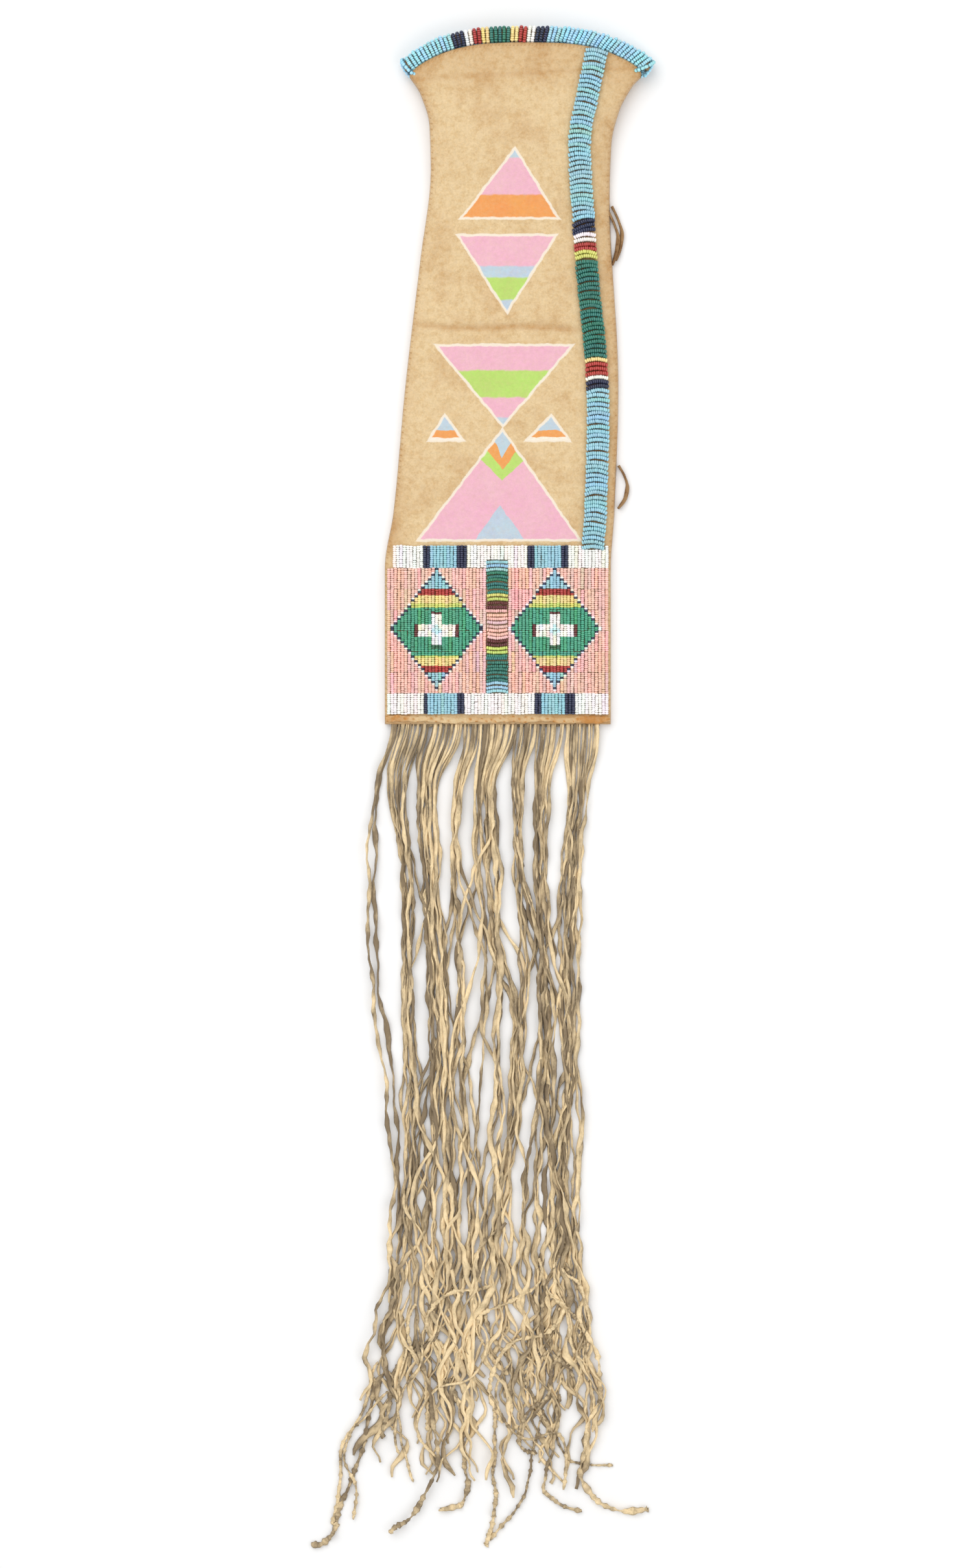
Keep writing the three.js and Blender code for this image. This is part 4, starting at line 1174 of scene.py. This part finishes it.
def roll_line(count):
    """The roll's centreline as points an even distance apart, with its direction, outward and upward
    directions: a superellipse in X and Z, over the front from left to right and back underneath, raised
    along Y by the arch."""
    angle = np.pi - np.linspace(0, 2 * np.pi, 2881)
    c, s = np.cos(angle), np.sin(angle)
    u, w = np.sign(c) * np.abs(c) ** 0.6, np.sign(s) * np.abs(s) ** 0.5
    inset = HIDE_THICKNESS / 2
    x = middle(MOUTH_HEIGHT) + u * (half_width(MOUTH_HEIGHT) - inset)
    z = seam_height(MOUTH_HEIGHT) + w * (MOUTH_RISE - inset)
    line = np.stack([x, mouth_height(u), z], axis=-1)
    run = run_along(line)

    def point_at(distance):
        return np.stack([np.interp(distance % run[-1], run, column) for column in line.T], axis=-1)

    at = np.arange(count) / count * run[-1]
    along = unit(point_at(at + 1.5) - point_at(at - 1.5))
    out = unit(np.cross(along, (0.0, 1.0, 0.0)))
    return point_at(at), along, out, np.cross(out, along)


# Strings of the roll and beads on each, the least height of a bead's middle, and the core's rings, sides
# and half axes

ROLL_STRINGS = 126
ROLL_BEADS = 15
LEAST_HEIGHT = 1.5
CORE_RINGS = 240
CORE_SIDES = 16
CORE_OUT, CORE_UP = 1.3, 3.5


class PIPEBAG_OT_mouth_roll(bpy.types.Operator):
    """Bind the mouth with a roll of beads"""

    bl_idname = "pipe_bag.mouth_roll"
    bl_label = "Mouth roll"

    def execute(self, context):
        self.strings()
        self.core()
        return {"FINISHED"}

    def strings(self):
        """Strings round the roll's section, an ellipse, and each leans along the roll towards the right
        end. At both ends of the mouth they splay, and hang lower. No bead goes into the ground."""
        centre, along, out, up = (a[:, None] for a in roll_line(ROLL_STRINGS))
        half_out, half_up = ROLL_THICKNESS / 2 - 0.9, ROLL_HEIGHT / 2 - 0.9
        turn = np.linspace(0, 2 * np.pi, 721)
        run = run_along(np.stack([half_out * np.cos(turn), half_up * np.sin(turn)], axis=-1))
        angle = np.interp(np.arange(ROLL_BEADS) / ROLL_BEADS * run[-1], run, turn)[None, :, None]
        lean = 0.36 * smooth(centre[..., :1], -10, 60) * (out[..., 2:] > 0)
        rng = np.random.default_rng(81)
        ended = smooth(np.abs(along[..., 2:]), 0.35, 0.8)
        sign = np.sign(centre[..., :1] - middle(MOUTH_HEIGHT))
        splay = 0.55 * ended * sign * rng.uniform(0.6, 1.3, ended.shape)
        up = up * np.cos(splay) + np.array([1.0, 0.0, 0.0]) * np.sin(splay)
        size = rng.normal(1, 0.035, ended.shape)
        low = 1 + 0.75 * ended * (np.sin(angle) < 0)
        rise = half_up * size * low * np.sin(angle) + rng.normal(0, 0.2, ended.shape)
        aside = out * half_out * size * (1 + 0.1 * ended) * np.cos(angle)
        points = centre + aside + up * rise + along * rise * lean
        points[..., 2] = np.maximum(points[..., 2], LEAST_HEIGHT)
        outward = out * np.cos(angle) / half_out + up * np.sin(angle) / half_up
        points, outward = (np.concatenate([a[:, -1:], a, a[:, :1]], axis=1) for a in (points, outward))
        place = np.where(out[..., 2] > -0.2, centre[..., 0], 99)
        # The roll's blue ends use the sky kind, a lighter copy of the blue glass: painted light on the roll
        bounds = (-28.9, -21.3, -16.8, -11.3, -6.3, 8.8, 13.1, 18.2, 23.2, 30.75)
        names = ("sky", "navy", "white", "red", "yellow", "green", "yellow", "red", "white", "navy", "sky")
        keep = np.ones(points.shape[:2], bool)
        keep[:, [0, -1]] = False
        beads = Beads()
        beads.lay(points, by_bounds(place, bounds, names), 82, up=outward, keep=keep, tint=0.05, size=1.15)
        both = {
            glass: [f"rim_{glass}_{side}" for side in ("left", "right")]
            for glass in ("navy", "white", "red")
        }
        beads.make("rim", both | {"blue": ["rim_blue"], "green": ["rim_green"]})

    def core(self):
        """The rolled hide under the beads: an ellipse carried along the roll's centreline."""
        centre, _, out, up = roll_line(CORE_RINGS)
        angle = -np.linspace(0, 2 * np.pi, CORE_SIDES, endpoint=False)
        across, upwards = CORE_OUT * np.cos(angle)[:, None], CORE_UP * np.sin(angle)[:, None]
        section = out[:, None] * across + up[:, None] * upwards
        material = tanned_material("rolled_hide", settings().hide.handled, srgb(96, 84, 66), 0.6)[0]
        faces = tube_faces(1, CORE_RINGS, CORE_SIDES, closed=True)
        add_piece("rim_core", centre[:, None] + section, faces, material)


# Fringe, thongs and seams


def strips(paths, width, thickness, turn, sides=6):
    """Flat strips along paths, as strip by step by side by point: an ellipse whose half axes are half the
    width and half the thickness, turned about the path by an angle."""
    along = unit(np.gradient(paths, axis=1))
    side = unit(np.cross((0.0, 0.0, 1.0), along))
    normal = np.cross(along, side)
    turn = turn[..., None]
    flat = side * np.cos(turn) + normal * np.sin(turn)
    thick = normal * np.cos(turn) - side * np.sin(turn)
    angle = np.linspace(0, 2 * np.pi, sides, endpoint=False)[:, None]
    across = flat[:, :, None] * np.cos(angle) * (width / 2)[..., None, None]
    through_it = thick[:, :, None] * np.sin(angle) * (thickness / 2)[..., None, None]
    return paths[:, :, None] + across + through_it


# How far below the bag the guides of the fringe lie. Each bunch is given as the strips in it, and how far
# it reaches to the left and the right at each of these levels.

FRINGE_LEVELS = (14, 50, 100, 160, 230, 310, 400, 490)
BUNCHES = (
    (2, (-73, -70), (-79, -75), (-84, -76), (-82, -75), (-73, -65), (-68, -61), (-80, -70), (-97, -85)),
    (9, (-71, -53), (-71, -55), (-63, -52), (-62, -53), (-62, -49), (-64, -50), (-72, -49), (-73, -52)),
    (13, (-54, -28), (-53, -35), (-49, -35), (-47, -31), (-45, -27), (-47, -25), (-52, -28), (-52, -28)),
    (6, (-23, -14), (-29, -21), (-31, -24), (-28, -19), (-32, -17), (-29, -11), (-36, -15), (-32, -12)),
    (12, (-13, 5), (-17, 0), (-15, 3), (-11, 5), (-15, 3), (-15, 4), (-17, 4), (-10, 13)),
    (7, (8, 20), (8, 17), (8, 17), (13, 22), (5, 17), (1, 20), (-1, 20), (5, 30)),
    (9, (22, 38), (22, 34), (22, 33), (25, 35), (24, 37), (16, 35), (15, 36), (21, 42)),
    (12, (40, 64), (42, 59), (39, 54), (38, 53), (40, 54), (33, 51), (34, 57), (42, 66)),
)

# The header's ends, its lower edge, how high it lies, and where the strips begin in it. The strips lie over
# each other in layers.

HEADER_LEFT, HEADER_RIGHT, HEADER_BOTTOM, HEADER_LOW = -67.0, 64.5, -9.0, 1.9
STRIP_TOP = -4.4
LAYERS = 4
STRIP_STEPS = 144
HEADER_THICKNESS = 1.2
HEADER_GRID = (90, 8)

# How far the strips may reach down, to the left, to the right and up

LOWEST_END, LEFT_END, RIGHT_END, HEAP_TOP = -525.5, -117.5, 96, 9

# Loose ends that lie away from the rest, as (x, y) points from where they leave it

LOOSE_ENDS = (
    ((-77, -420), (-84, -455), (-90, -478), (-99, -500), (-106, -519), (-114, -525.5), (-118, -524)),
    ((-76, -410), (-86, -440), (-97, -462), (-101, -482), (-100, -497), (-105, -512)),
    ((-70, -428), (-84, -445), (-95, -456), (-97, -470), (-90, -487), (-92, -509)),
    ((-58, -400), (-63, -430), (-62, -455), (-58, -470), (-53, -485)),
    ((-1, -440), (-3, -470), (-1, -492), (-4.6, -512), (-6.2, -526)),
    ((28, -440), (22, -470), (14, -500), (4, -512), (-6, -522)),
    ((40, -430), (34, -465), (30, -490), (44, -502), (52, -504)),
    ((52, -385), (62, -405), (66, -428), (56, -452), (53, -478), (62, -496), (80, -504), (95, -502.5)),
    ((40, -420), (36, -450), (46, -472), (62, -475), (73, -475)),
    ((-30, -420), (-22, -455), (-20, -490), (-24, -500), (-35, -503)),
)

# How many strips curl back, and the middle and the reach to both sides within which they stay

TANGLES, TANGLE_MIDDLE, TANGLE_REACH = 18, -7, 74


def smooth_path(points, steps):
    """A curve through points that keeps their order, by how far along them it has come."""
    points = np.array(points, float)
    run = run_along(points)
    at = np.linspace(0, run[-1], steps)
    return np.stack([through(*zip(run, column))(at) for column in points.T], axis=-1)


def sines(rng, count, along, lengths, heights):
    """A wandering value for each strip: a sum of sines of these lengths with seeded phases."""
    total = 0
    for length, height in zip(lengths, heights):
        phase = rng.uniform(0, 2 * np.pi, (count, 1))
        own = length * rng.uniform(0.8, 1.25, (count, 1))
        swing = height * rng.uniform(0.5, 1.2, (count, 1))
        total = total + swing * np.sin(2 * np.pi * along / own + phase)
    return total


def hanging_paths(steps, rng):
    """The strips side by side in the header, and from there on in their bunches. A strip keeps a place
    within the spread of its bunch, wanders about it, and may cross over to the next bunch on its way
    down."""
    counts = [bunch[0] for bunch in BUNCHES]
    total = sum(counts)
    first = np.repeat(np.arange(len(BUNCHES)), counts)[:, None]
    share = np.concatenate([np.linspace(-1, 1, count) for count in counts])[:, None]
    cut = HEADER_LEFT + 1.2 + np.arange(total)[:, None] * (HEADER_RIGHT - HEADER_LEFT - 2.4) / (total - 1)
    cut = cut + rng.normal(0, 0.7, (total, 1))
    end = rng.uniform(400, 486, (total, 1)) + 10 * (first >= 3)
    t = np.linspace(0, 1, steps)[None, :]
    down = -STRIP_TOP + (end + STRIP_TOP) * t
    place = share + sines(rng, total, down, (330, 140, 75), (0.2, 0.2, 0.14)) * smooth(down, 15, 90)
    gathered = 1 - 0.2 * smooth(down, 16, 50) * (1 - smooth(down, 180, 270))
    bunch_x = []
    for _, *spans in BUNCHES:
        left, right = (through(*zip(FRINGE_LEVELS, edge))(down) for edge in zip(*spans))
        bunch_x.append((left + right) / 2 + place * np.maximum(gathered * (right - left) / 2 - 1.0, 0.6))
    bunch_x = np.stack(bunch_x)
    guide, now = np.take_along_axis(bunch_x, np.broadcast_to(first, (1, total, steps)), axis=0)[0], first
    for near, far in ((60, 150), (180, 260), (290, 370)):
        change = rng.choice([-1, 0, 0, 1], (total, 1)) * (now > 0)
        now = np.clip(now + change, np.minimum(now, 1), len(BUNCHES) - 1)
        ahead = np.take_along_axis(bunch_x, np.broadcast_to(now, (1, total, steps)), axis=0)[0]
        start = rng.uniform(near, far, (total, 1))
        guide = guide + (ahead - guide) * smooth(down, start, start + rng.uniform(50, 110, (total, 1)))
    loose = 1 + 1.3 * smooth(down, 250, 400)
    wander = sines(rng, total, down, (58, 29, 13), (0.8, 0.65, 0.3)) * smooth(down, 12, 80) * loose
    curl = sines(rng, total, down, (76, 36), (5.6, 2.8)) * smooth(down, 320, 450)
    x = cut + (guide + wander + curl - cut) * smooth(down, 5, 38)
    layer = rng.permutation(total)[:, None] % LAYERS
    lie = 0.9 + 1.1 * layer + sines(rng, total, down, (90, 41), (0.6, 0.35))
    top = HEADER_LOW + 2.1 + 0.5 * (layer % 3)
    z = top + (np.maximum(lie, 0.75) - top) * smooth(down, 6, 44)
    return np.stack([x, -down, z], axis=-1)


def loose_paths(steps, rng):
    """The loose ends, each a smooth curve through its points with a small wander, sinking to the floor."""
    paths = []
    down = np.linspace(0, 1, steps)
    for number, points in enumerate(LOOSE_ENDS):
        flat = smooth_path(points, steps)
        wander = sines(rng, 1, down[None], (0.45, 0.21), (1.0, 0.5))[0]
        z = (1.0 + 1.1 * (number % 4) + 0.3 * np.sin(down * 17)) * (1 - 0.6 * down) + 0.5
        paths.append(np.stack([flat[:, 0] + wander, flat[:, 1], z], axis=-1))
    return np.stack(paths)


def tangled_paths(steps, rng):
    """Strips that curl back through the lower fringe: the heading swings from side to side as a sum of
    sines, and the path is the sum of its short steps."""
    start = np.stack([rng.uniform(-64, 56, TANGLES), rng.uniform(-430, -320, TANGLES)], axis=-1)[:, None]
    length = rng.uniform(80, 160, (TANGLES, 1))
    t = np.linspace(0, 1, steps)[None, :]
    heading = sines(rng, TANGLES, t, (1.7, 0.85, 0.36), (0.9, 0.55, 0.25)) - np.pi / 2
    stride = np.stack([np.cos(heading), np.sin(heading)], axis=-1) * (length / steps)[..., None]
    flat = start + np.cumsum(stride, axis=1)
    flat[..., 0] = TANGLE_MIDDLE + TANGLE_REACH * np.tanh((flat[..., 0] - TANGLE_MIDDLE) / TANGLE_REACH)
    z = rng.uniform(3.5, 6.0, (TANGLES, 1)) + 0.8 * np.sin(t * 9 + start[..., 0]) - 1.5 * t
    return np.concatenate([flat, z[..., None]], axis=-1)


class PIPEBAG_OT_fringe(bpy.types.Operator):
    """Cut the fringe: a header with long strips that bunch, cross and tangle"""

    bl_idname = "pipe_bag.fringe"
    bl_label = "Fringe"

    def execute(self, context):
        """The strips vary in width and turn along their length, and in thickness from one to the next."""
        look = settings().fringe
        rng = np.random.default_rng(look.seed)
        steps = STRIP_STEPS
        paths = [make(steps, rng) for make in (hanging_paths, loose_paths, tangled_paths)]
        paths = np.concatenate(paths)
        paths[..., 1] = np.maximum(paths[..., 1], LOWEST_END)
        paths[..., 0] = np.clip(paths[..., 0], LEFT_END, RIGHT_END)
        count = len(paths)
        t = np.linspace(0, 1, steps)[None, :]
        taper = 1 + 0.22 * smooth(t, 0.55, 0.8) - 0.6 * smooth(t, 0.985, 1.0)
        run = np.linspace(0, 480, steps)[None, :]
        width = 1000 * look.width * rng.uniform(0.6, 1.4, (count, 1)) * taper
        width = width * (1 + 0.2 * sines(rng, count, run, (31, 14), (1, 1)))
        width = width * (0.68 + 0.32 * smooth(run, 12, 60))
        thickness = 1000 * look.thickness * rng.uniform(0.7, 1.15, (count, 1)) * np.ones(run.shape)
        turn = sines(rng, count, run, (120, 52, 24), (1.1, 0.8, 0.4)) * smooth(run, 5, 60)
        reach = np.abs(np.sin(turn)) * width / 2 + np.abs(np.cos(turn)) * thickness / 2
        paths[..., 2] = np.clip(paths[..., 2], reach + 0.15, HEAP_TOP)
        points = strips(paths, width, thickness, turn)
        values = self.tones(rng, run, paths[..., 2], points, reach)
        # The tone attribute holds painted shade on the strips' undersides and under the strips that lie high
        material = tanned_material(
            "cut_fringe", look.light, look.dark, "tone", place="fibre", Sheen_Weight=0.1
        )[0]
        self.header(look)
        faces = tube_faces(count, steps, points.shape[2])
        add_piece("fringe_strips", points, faces, material, ("fringe",), values)
        return {"FINISHED"}

    def tones(self, rng, run, height, points, reach):
        """How dark each point is, and a place along its own strip that the grain follows. The strips are
        darker near the header and in their upper part and lighter towards their ends. They carry painted
        light
        and shade: lighter where they lie high on the others, and darker on their undersides."""
        shape = points.shape[:3]
        count = shape[0]
        tone = rng.uniform(0.05, 1.0, (count, 1))
        tone = tone + 0.25 * sines(rng, count, run, (150, 60, 22), (1, 0.8, 0.7))
        # Painted light and shade: strips that lie high are lighter, and those under them darker
        lit_on_top = 0.75 + 0.5 * smooth(height, 0.8, 5.5)
        dull = 0.25 * smooth(run, 20, 60) * (1 - 0.9 * smooth(run, 300, 420))
        dull = dull + 0.3 * (1 - smooth(run, 6, 30))
        tone = np.clip(tone * lit_on_top - 0.6 * dull + 0.22 + 0.18 * smooth(run, 260, 400), 0, 1)
        # Painted shade: the underside of each strip is darker
        low = (height[..., None] - points[..., 2]) / reach[..., None]
        shaded_underside = 0.3 * smooth(low, -0.35, 0.7)
        angle = np.linspace(0, 2 * np.pi, shape[2], endpoint=False)
        number = np.arange(count)[:, None, None]
        fibre = (np.cos(angle) * 2.0 + number * 9.0, run[..., None] * 0.5, number * 3.7)
        fibre = np.stack([np.broadcast_to(part, shape) for part in fibre], axis=-1)
        return {"fibre": fibre, "tone": np.clip(1 - tone[..., None] + shaded_underside, 0, 1).ravel()}

    def header(self, look):
        """The uncut top of the fringe: a thin flat wall with a slightly wavy lower edge."""
        x = np.linspace(HEADER_LEFT, HEADER_RIGHT, HEADER_GRID[0])[None, :]
        share = np.linspace(0, 1, HEADER_GRID[1])[:, None]
        bottom = HEADER_BOTTOM + 1.6 + 0.4 * np.sin(x / 3.1)
        y = bottom + share * (-1 - bottom)
        low = np.stack([np.broadcast_to(x, y.shape), y, np.full(y.shape, HEADER_LOW)], axis=-1)
        points, faces = shell(low + (0.0, 0.0, HEADER_THICKNESS), low)
        material = tanned_material("fringe_header", look.light, look.dark, 0.5)[0]
        add_piece("fringe_header", points, faces, material)


# Where the thongs run, and the pieces of them: the solids each stands for, how far it is moved aside, its
# route

THONG_ROUTES = {
    "side_thong_upper": (
        (72.2, 321.5, 2.6), (76.6, 312, 1.9), (78.6, 304.5, 1.3), (77.6, 296, 1.3), (74.9, 287.5, 1.9),
    ),
    "side_thong_lower": (
        (76.4, 157.5, 2.6), (80.2, 151, 1.9), (82, 144.5, 1.3), (80.9, 137.5, 1.5), (76.2, 130.5, 2.4),
    ),
}
THONG_PIECES = {
    "thong_upper": (("side_thong_upper",), (0.0, 0.0, 0.0), "side_thong_upper"),
    "thong_upper_second": ((), (-2.4, -3.0, 0.6), "side_thong_upper"),
    "thong_lower": (("side_thong_lower",), (0.0, 0.0, 0.0), "side_thong_lower"),
}
THONG_STEPS = 48
THONG_SIDES = 10


class PIPEBAG_OT_side_thongs(bpy.types.Operator):
    """Loop the two thongs through the right side seam"""

    bl_idname = "pipe_bag.side_thongs"
    bl_label = "Side thongs"

    def execute(self, context):
        """Each strand varies in width and twists a little, and no part of it goes into the ground."""
        look = settings().thongs
        material = tanned_material("thong_hide", look.colour, srgb(120, 84, 48), 0.55)[0]
        for piece_name, (name, aside, route) in THONG_PIECES.items():
            path = smooth_path(np.array(THONG_ROUTES[route]) + aside, THONG_STEPS)[None]
            t = np.linspace(0, 1, THONG_STEPS)[None, :]
            width = 1000 * look.width * (1 + 0.1 * np.sin(t * 15))
            thickness = 1000 * look.thickness * np.ones(t.shape)
            points = strips(path, width, thickness, 1.2 + 0.5 * np.sin(t * 7), sides=THONG_SIDES)
            points[..., 2] = np.maximum(points[..., 2], 0.1)
            faces = tube_faces(1, THONG_STEPS, THONG_SIDES)
            piece = add_piece(piece_name, points, faces, material, name)
            spots = in_frame(path[0])
            tuple(spots[0])
            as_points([tuple(spot) for spot in spots[::3]] + [tuple(spots[-1])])
        return {"FINISHED"}


# A stitch's length and width, the sides of its section, and the welt's steps and sides

STITCH_LENGTH, STITCH_WIDTH, STITCH_SIDES = 2.0, 0.54, 6
WELT_STEPS, WELT_SIDES = 220, 12


class PIPEBAG_OT_seams(bpy.types.Operator):
    """Sew the side seams, the edge under the roll and the welt along the bottom"""

    bl_idname = "pipe_bag.seams"
    bl_label = "Seams and welt"

    def execute(self, context):
        self.stitches()
        self.welt()
        return {"FINISHED"}

    def stitches(self):
        """Short stitches over both side seams and along the hide's edge under the roll."""
        rng = np.random.default_rng(91)
        y = np.arange(2, MOUTH_HEIGHT - 6, 3.6)
        centres, along = [], []
        for edge, side in ((left_edge, -1), (right_edge, 1)):
            x = edge(y) - side * 1.0
            centres.append(np.stack([x, y, hide_top(x, y) + 0.05], axis=-1))
            steep = hide_top(edge(y) - side * 0.4, y) - hide_top(edge(y) - side * 1.6, y)
            along.append(np.stack([side * np.full(y.shape, 1.2), np.full(y.shape, 0.5), steep], axis=-1))
        u = np.linspace(-0.93, 0.93, 62)
        end = hide_end(u) - 1.1
        x = middle(end) + u * half_width(end)
        centres.append(np.stack([x, end, hide_top(x, end) + 0.1], axis=-1))
        along.append(np.stack([np.full(u.shape, 0.3), np.ones(u.shape), np.zeros(u.shape)], axis=-1))
        centres = np.concatenate(centres)
        along = unit(np.concatenate(along) + rng.normal(0, 0.12, centres.shape))
        count = len(centres)
        up = square_to(along, (0.0, 0.0, 1.0))
        length, width = np.full(count, STITCH_LENGTH), np.full(count, STITCH_WIDTH)
        points = barrels(centres, along, up, length, width, STITCH_SIDES)
        faces = tube_faces(count, len(BARREL), STITCH_SIDES)
        look = settings().hide
        material = tanned_material("sinew_thread", look.colour, look.handled, 0.55)[0]
        add_piece("seam_stitches", points, faces, material)

    def welt(self):
        """A folded strip of hide along the bottom seam: a flat rounded section carried along X, dipping at
        the stitches, with a stain near its right end and small dark spots."""
        x = np.linspace(-SEAM_HALF + 0.6, SEAM_HALF - 0.6, WELT_STEPS)
        y = -2.8 + 0.4 * np.sin(x / 11) + 0.3 * np.sin(x / 3.7) + 0.2 * np.sin(x / 1.3 + np.sin(x / 5))
        dip = 0.35 * np.maximum(0, np.cos(2 * np.pi * x / 4.4 + np.sin(x / 9))) ** 4
        path = np.stack([x, y, hide_top(x, y) + 0.25 - dip], axis=-1)[None]
        ends = 0.6 + 0.4 * smooth(x, -SEAM_HALF, -SEAM_HALF + 3) * (1 - smooth(x, SEAM_HALF - 3, SEAM_HALF))
        width = (4.5 + 0.6 * np.sin(x / 7) + 0.5 * np.sin(x / 2.3) * np.sin(x / 9)) * ends
        flat = np.zeros((1, WELT_STEPS))
        points = strips(path, width[None], (1.5 * ends)[None], flat, sides=WELT_SIDES)
        x, y = points[..., 0].ravel(), points[..., 1].ravel()
        stain = 0.8 * bell(x - 56, 8)
        patch = 0.3 * np.sin(x / 6) * np.sin(x / 13)
        spots = 0.9 * smooth(np.sin(x * 0.9 + 2 * np.sin(x / 8)) * np.sin(y * 1.7), 0.6, 0.9)
        values = {"handled": np.clip(0.08 + patch + stain + spots, 0, 1)}
        material = tanned_material("welt_hide", settings().hide.colour, srgb(190, 132, 68), "handled")[0]
        faces = tube_faces(1, WELT_STEPS, WELT_SIDES)
        add_piece("bottom_welt", points, faces, material, (), values)


# Floor, lights and camera

# The picture's size in pixels, millimetres in a pixel, the pixel of the pieces' own origin, the lens and
# the sensor in millimetres, half the floor's side in metres, and each light's size and place in metres

PHOTO_WIDTH, PHOTO_HEIGHT = 1512, 2418
MM_PER_PIXEL = 0.41
PANEL_MIDDLE_PIXEL, PANEL_BOTTOM_PIXEL = 768, 1102
LENS = 100
SENSOR = 36
FLOOR_HALF = 3.0
LIGHTS = (("key", 2.6, (-0.9, 1.1, 2.4)), ("fill", 2.2, (1.5, -0.8, 2.2)))


class PIPEBAG_OT_stage(bpy.types.Operator):
    """Set up the floor, the lights and the camera"""

    bl_idname = "pipe_bag.stage"
    bl_label = "Stage"

    def execute(self, context):
        look = settings().stage
        x = (PHOTO_WIDTH / 2 - PANEL_MIDDLE_PIXEL) * MM_PER_PIXEL + ORIGIN[0]
        y = (PANEL_BOTTOM_PIXEL - PHOTO_HEIGHT / 2) * MM_PER_PIXEL + ORIGIN[1]
        target = Vector((x / 1000, y / 1000, 0.004))
        camera = bpy.data.cameras.new("camera")
        camera.lens, camera.sensor_width = LENS, SENSOR
        holder = link("camera", camera)
        holder.location = target + Vector((0, 0, PHOTO_HEIGHT * MM_PER_PIXEL / 1000 * LENS / SENSOR))
        context.scene.camera = holder
        self.floor(look)
        for name, size, place in LIGHTS:
            lamp = bpy.data.lights.new(name, "AREA")
            lamp.energy, lamp.size = getattr(look, name), size
            holder = link(name, lamp)
            holder.location = place
            holder.rotation_euler = (target - Vector(place)).to_track_quat("-Z", "Y").to_euler()
        world = bpy.data.worlds.new("studio")
        world.use_nodes = True
        world.node_tree.nodes["Background"].inputs["Color"].default_value = (1, 1, 1, 1)
        world.node_tree.nodes["Background"].inputs["Strength"].default_value = look.sky
        context.scene.world = world
        context.scene.view_settings.view_transform = "Standard"
        return {"FINISHED"}

    def floor(self, look):
        """A level square of matt board, a little uneven in tone."""
        points = [(x * FLOOR_HALF, y * FLOOR_HALF, 0.0) for x, y in ((-1, -1), (1, -1), (1, 1), (-1, 1))]
        mesh = bpy.data.meshes.new("floor")
        mesh.from_pydata(points, [], [(0, 1, 2, 3)])
        material, tree, shader = new_material("floor", Roughness=0.9)
        place = tree.add("ShaderNodeTexCoord").outputs["Object"]
        darker = tuple(0.985 * part for part in look.floor)
        tint = tree.mix(tree.noise(place, 3.0), tuple(look.floor), darker)
        tree.join(tint, shader.inputs["Base Color"])
        mesh.materials.append(material)
        link("floor", mesh)


SEQUENCE = (
    PIPEBAG_OT_stage,
    PIPEBAG_OT_back_hide,
    PIPEBAG_OT_front_hide,
    PIPEBAG_OT_seams,
    PIPEBAG_OT_panel_beads,
    PIPEBAG_OT_stripe_beads,
    PIPEBAG_OT_mouth_roll,
    PIPEBAG_OT_fringe,
    PIPEBAG_OT_side_thongs,
)


class PIPEBAG_PT_pieces(bpy.types.Panel):
    """The pieces of the pipe bag"""

    bl_idname = "PIPEBAG_PT_pieces"
    bl_label = "Pipe bag"
    bl_space_type = "VIEW_3D"
    bl_region_type = "UI"
    bl_category = "Pipe bag"

    def draw(self, context):
        for piece in SEQUENCE:
            self.layout.operator(piece.bl_idname)
        for name in ("hide", "paint", "beads", "fringe", "thongs", "stage"):
            box = self.layout.box()
            group = getattr(context.scene.pipe_bag, name)
            for key in type(group).__annotations__:
                box.prop(group, key)


CLASSES = (
    HideSettings, PaintSettings, BeadSettings, FringeSettings, ThongSettings, StageSettings, PipeBagSettings,
    *SEQUENCE, PIPEBAG_PT_pieces,
)


def register():
    for cls in CLASSES:
        bpy.utils.register_class(cls)
    bpy.types.Scene.pipe_bag = bpy.props.PointerProperty(
        type=PipeBagSettings, name="Pipe bag", description="Settings of the pipe bag"
    )


def unregister():
    del bpy.types.Scene.pipe_bag
    for cls in reversed(CLASSES):
        bpy.utils.unregister_class(cls)


def main():
    register()
    for piece in SEQUENCE:
        group, name = piece.bl_idname.split(".")
        getattr(getattr(bpy.ops, group), name)()
    area = flat_area()


if __name__ == "__main__":
    main()
